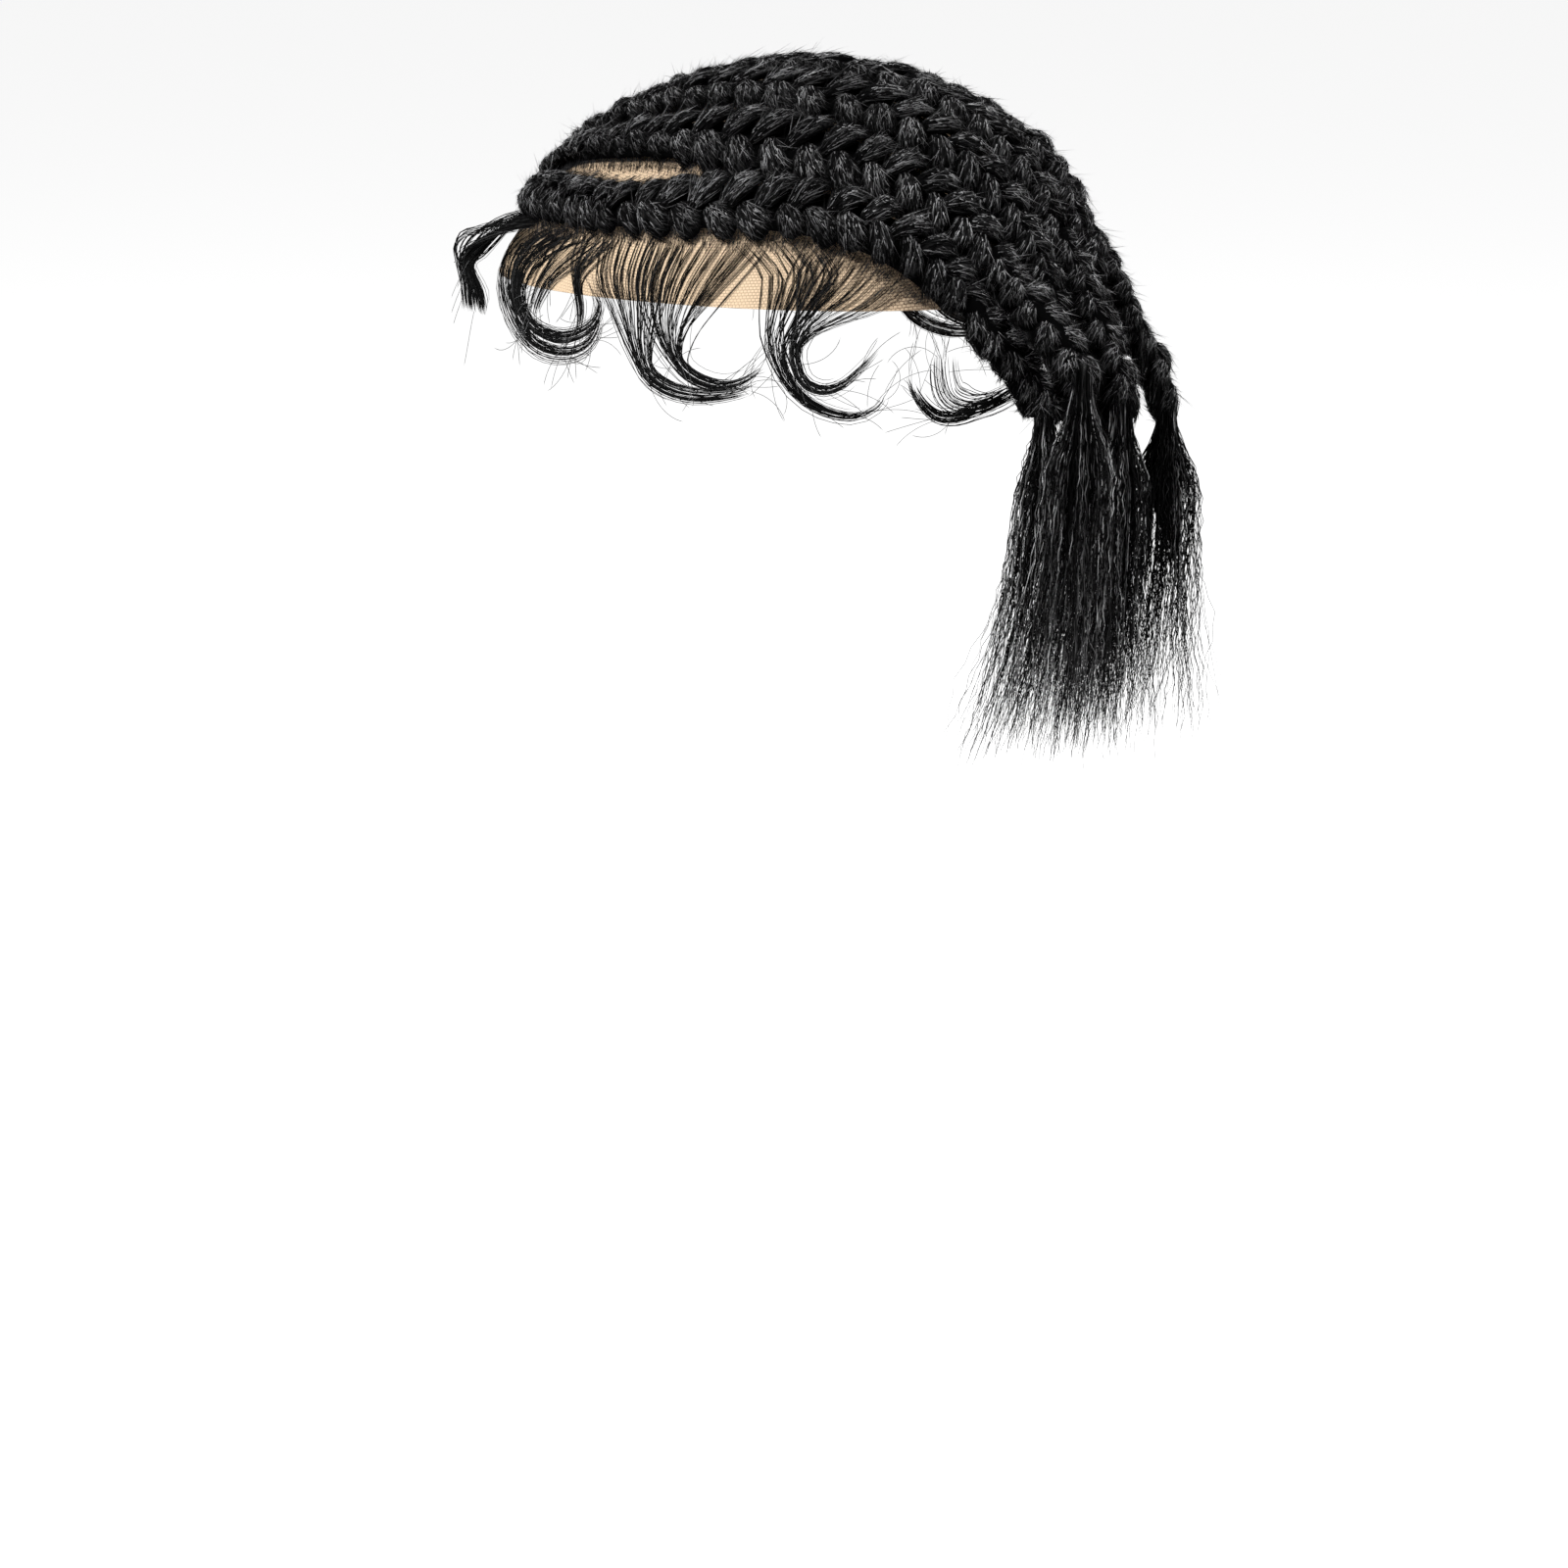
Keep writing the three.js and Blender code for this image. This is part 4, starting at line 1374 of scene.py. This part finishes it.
def lace_material(name, settings):
    """Skin-toned net: fine threads over a paler ground, with dark root knots near the rows."""
    material, tree, shader = new_material(name)
    round_dome = 2 * math.pi * 0.083
    crown_to_foot = math.pi * 0.096
    cells = add_node(tree, "ShaderNodeMapping", {
        "Vector": tree.nodes.new("ShaderNodeUVMap").outputs["UV"],
        "Scale": (round_dome / settings.net_cell, crown_to_foot / settings.net_cell, 1),
    })
    net = add_node(tree, "ShaderNodeTexBrick", {
        "Vector": cells.outputs["Vector"], "Scale": 1, "Brick Width": 1, "Row Height": 0.8,
        "Mortar Size": 0.13, "Mortar Smooth": 0.6,
    }).outputs["Fac"]
    # The threads show here more and there less, and most at the back corners
    place = tree.nodes.new("ShaderNodeTexCoord").outputs["Object"]
    cloud = add_node(tree, "ShaderNodeTexNoise", {"Vector": place, "Scale": 38}).outputs["Fac"]
    corner = attribute(tree, "net")
    strength = combine(tree, "ADD", map_range(tree, cloud, (0.35, 0.7), (0.25, 0.85)), corner)
    thread = combine(tree, "MULTIPLY", net, strength, use_clamp=True)
    ground = blend(tree, corner, opaque(settings.ground), opaque(settings.ground, 0.6))
    threaded = blend(tree, thread, ground, opaque(settings.thread))
    # Knots stand close together at the edge of a row and thin out away from it
    knots = add_node(tree, "ShaderNodeTexVoronoi", {"Vector": place, "Scale": 1500}).outputs["Distance"]
    near_row = combine(tree, "POWER", attribute(tree, "roots"), 2.2)
    stipple = combine(tree, "MULTIPLY", map_range(tree, knots, (0.5, 0.25)), near_row)
    set_sockets(tree, shader, {
        "Base Color": blend(tree, stipple, threaded, (0.05, 0.035, 0.025, 1)),
        "Normal": bump(tree, net, 0.5, 0.0003),
        "Roughness": 0.75,
    })
    return material


def floor_material():
    """Pale studio floor that reads as white to the camera."""
    material, tree, shader = new_material("pale_floor")
    seen = tree.nodes.new("ShaderNodeLightPath").outputs["Is Camera Ray"]
    set_sockets(tree, shader, {
        "Base Color": (0.9, 0.9, 0.9, 1),
        "Roughness": 0.9,
        "Emission Color": WHITE,
        "Emission Strength": combine(tree, "MULTIPLY", seen, 0.9),
    })
    return material


def shared(make, name, *values):
    """The named material, made the first time that it is asked for."""
    return bpy.data.materials.get(name) or make(name, *values)


def braid_finish(settings):
    """Finishes of the rows and tails: their fibres and the dark hair under them."""
    fibres = shared(hair_material, "braided_black_hair", settings, 0.34)
    return [fibres, shared(core_material, "dark_hair_core", settings)]


# Stage

# Soft square lights: where they stand from the middle of the hair, in metres to the right of the camera's
# view, back towards the camera and up, and their power in watts
Light = namedtuple("Light", "name right back up power")
LIGHTS = [
    Light("key_light", -0.9, 0.75, 0.85, 30),
    Light("top_light", 0.25, -0.1, 1.3, 11),
    Light("side_light", 1.1, 0.5, 0.35, 15),
]
LIGHT_SIZE = 0.5
LIT_MIDDLE = Vector((0, 0.02, -0.06))

# Strength of the surround as a light and where it is seen
SURROUND = (0.02, 0.94)


def make_camera(settings, back):
    """Camera at the viewing angle, looking a little below the middle of the dome."""
    middle = Vector((0, -CROWN_SHIFT * MM, -DOME_HEIGHT * MM))
    data = bpy.data.cameras.new("camera")
    data.lens = settings.lens
    data.sensor_width = 36
    camera = bpy.data.objects.new("camera", data)
    camera.rotation_mode = "QUATERNION"
    camera.location = middle + back * settings.distance
    tilt = Quaternion((1, 0, 0), -settings.tilt)
    camera.rotation_quaternion = (-back).to_track_quat("-Z", "Y") @ tilt
    bpy.context.collection.objects.link(camera)
    bpy.context.scene.camera = camera


def make_floor(drop):
    """Pale floor below the object."""
    bpy.ops.mesh.primitive_plane_add(size=40, location=(0, 0, -drop))
    floor = bpy.context.object
    floor.name = "studio_floor"
    floor.data.materials.append(floor_material())


def make_surround():
    """Even surround, pale where it is seen and dim as a light."""
    world = bpy.data.worlds.new("soft_surround")
    world.use_nodes = True
    tree = world.node_tree
    seen = tree.nodes.new("ShaderNodeLightPath").outputs["Is Camera Ray"]
    strength = map_range(tree, seen, (0, 1), SURROUND)
    set_sockets(tree, tree.nodes["Background"], {"Color": WHITE, "Strength": strength})
    bpy.context.scene.world = world


def make_light(light, right, back):
    """Soft square light that looks at the middle of the hair."""
    data = bpy.data.lights.new(light.name, "AREA")
    data.size = LIGHT_SIZE
    data.energy = light.power
    away = right * light.right + back * light.back + Vector((0, 0, light.up))
    lamp = bpy.data.objects.new(light.name, data)
    lamp.location = LIT_MIDDLE + away
    lamp.rotation_euler = (-away).to_track_quat("-Z", "Y").to_euler()
    bpy.context.collection.objects.link(lamp)


def make_stage(settings):
    """Camera, pale floor, even surround and soft lights."""
    bpy.context.scene.view_settings.view_transform = "Standard"
    level = math.cos(settings.elevation)
    right = Vector((math.cos(settings.azimuth), math.sin(settings.azimuth), 0))
    back = Vector((right.y * level, -right.x * level, math.sin(settings.elevation)))
    make_camera(settings, back)
    make_floor(settings.floor_drop)
    make_surround()
    for light in LIGHTS:
        make_light(light, right, back)


# Operators and panel

class TOUPEE_OT_lace_base(bpy.types.Operator):
    """Make the lace base"""

    bl_idname = "toupee.lace_base"
    bl_label = "Lace base"

    def execute(self, context):
        make_lace(shared(lace_material, "skin_toned_lace", context.scene.toupee.lace))
        return {"FINISHED"}


class TOUPEE_OT_cornrows(bpy.types.Operator):
    """Make the seven braided rows"""

    bl_idname = "toupee.cornrows"
    bl_label = "Cornrows"

    def execute(self, context):
        braid = context.scene.toupee.braid
        for seed, row in enumerate(ROWS, start=1):
            make_cornrow(row, seed, braid, braid_finish(braid))
        return {"FINISHED"}


class TOUPEE_OT_tails(bpy.types.Operator):
    """Make the free plaits and their loose brushes"""

    bl_idname = "toupee.tails"
    bl_label = "Braid tails"

    def execute(self, context):
        toupee = context.scene.toupee
        for seed, row in enumerate(ROWS, start=1):
            make_tail(row, seed, toupee.braid, toupee.tail, braid_finish(toupee.braid))
        return {"FINISHED"}


class TOUPEE_OT_edge_curls(bpy.types.Operator):
    """Make the swept curls of the hairline"""

    bl_idname = "toupee.edge_curls"
    bl_label = "Edge curls"

    def execute(self, context):
        toupee = context.scene.toupee
        material = shared(hair_material, "combed_black_hair", toupee.braid, 0.32)
        edge = hairline()
        seed = CURL_SEED
        for curl in CURLS:
            for side in ("left", "right"):
                make_curl(curl, side, seed, edge, toupee.curl, material)
                seed += 1
        return {"FINISHED"}


class TOUPEE_OT_stage(bpy.types.Operator):
    """Make the camera, floor and lights"""

    bl_idname = "toupee.stage"
    bl_label = "Stage"

    def execute(self, context):
        make_stage(context.scene.toupee.stage)
        return {"FINISHED"}


class TOUPEE_PT_pieces(bpy.types.Panel):
    """Pieces of the toupee"""

    bl_idname = "TOUPEE_PT_pieces"
    bl_label = "Cornrow toupee"
    bl_space_type = "VIEW_3D"
    bl_region_type = "UI"
    bl_category = "Toupee"

    def draw(self, context):
        for operator in OPERATORS:
            self.layout.operator(operator.bl_idname)
        for name in ToupeeSettings.__annotations__:
            box = self.layout.box()
            box.label(text=name.capitalize())
            settings = getattr(context.scene.toupee, name)
            for setting in settings.__annotations__:
                box.prop(settings, setting)


OPERATORS = (
    TOUPEE_OT_stage,
    TOUPEE_OT_lace_base,
    TOUPEE_OT_cornrows,
    TOUPEE_OT_tails,
    TOUPEE_OT_edge_curls,
)
SETTINGS = (LaceSettings, BraidSettings, TailSettings, CurlSettings, StageSettings, ToupeeSettings)
CLASSES = (*SETTINGS, *OPERATORS, TOUPEE_PT_pieces)


def register():
    for kind in CLASSES:
        bpy.utils.register_class(kind)
    bpy.types.Scene.toupee = PointerProperty(type=ToupeeSettings)


def unregister():
    del bpy.types.Scene.toupee
    for kind in reversed(CLASSES):
        bpy.utils.unregister_class(kind)


def main():
    register()
    bpy.ops.toupee.stage()
    bpy.ops.toupee.lace_base()
    bpy.ops.toupee.cornrows()
    bpy.ops.toupee.tails()
    bpy.ops.toupee.edge_curls()


if __name__ == "__main__":
    main()
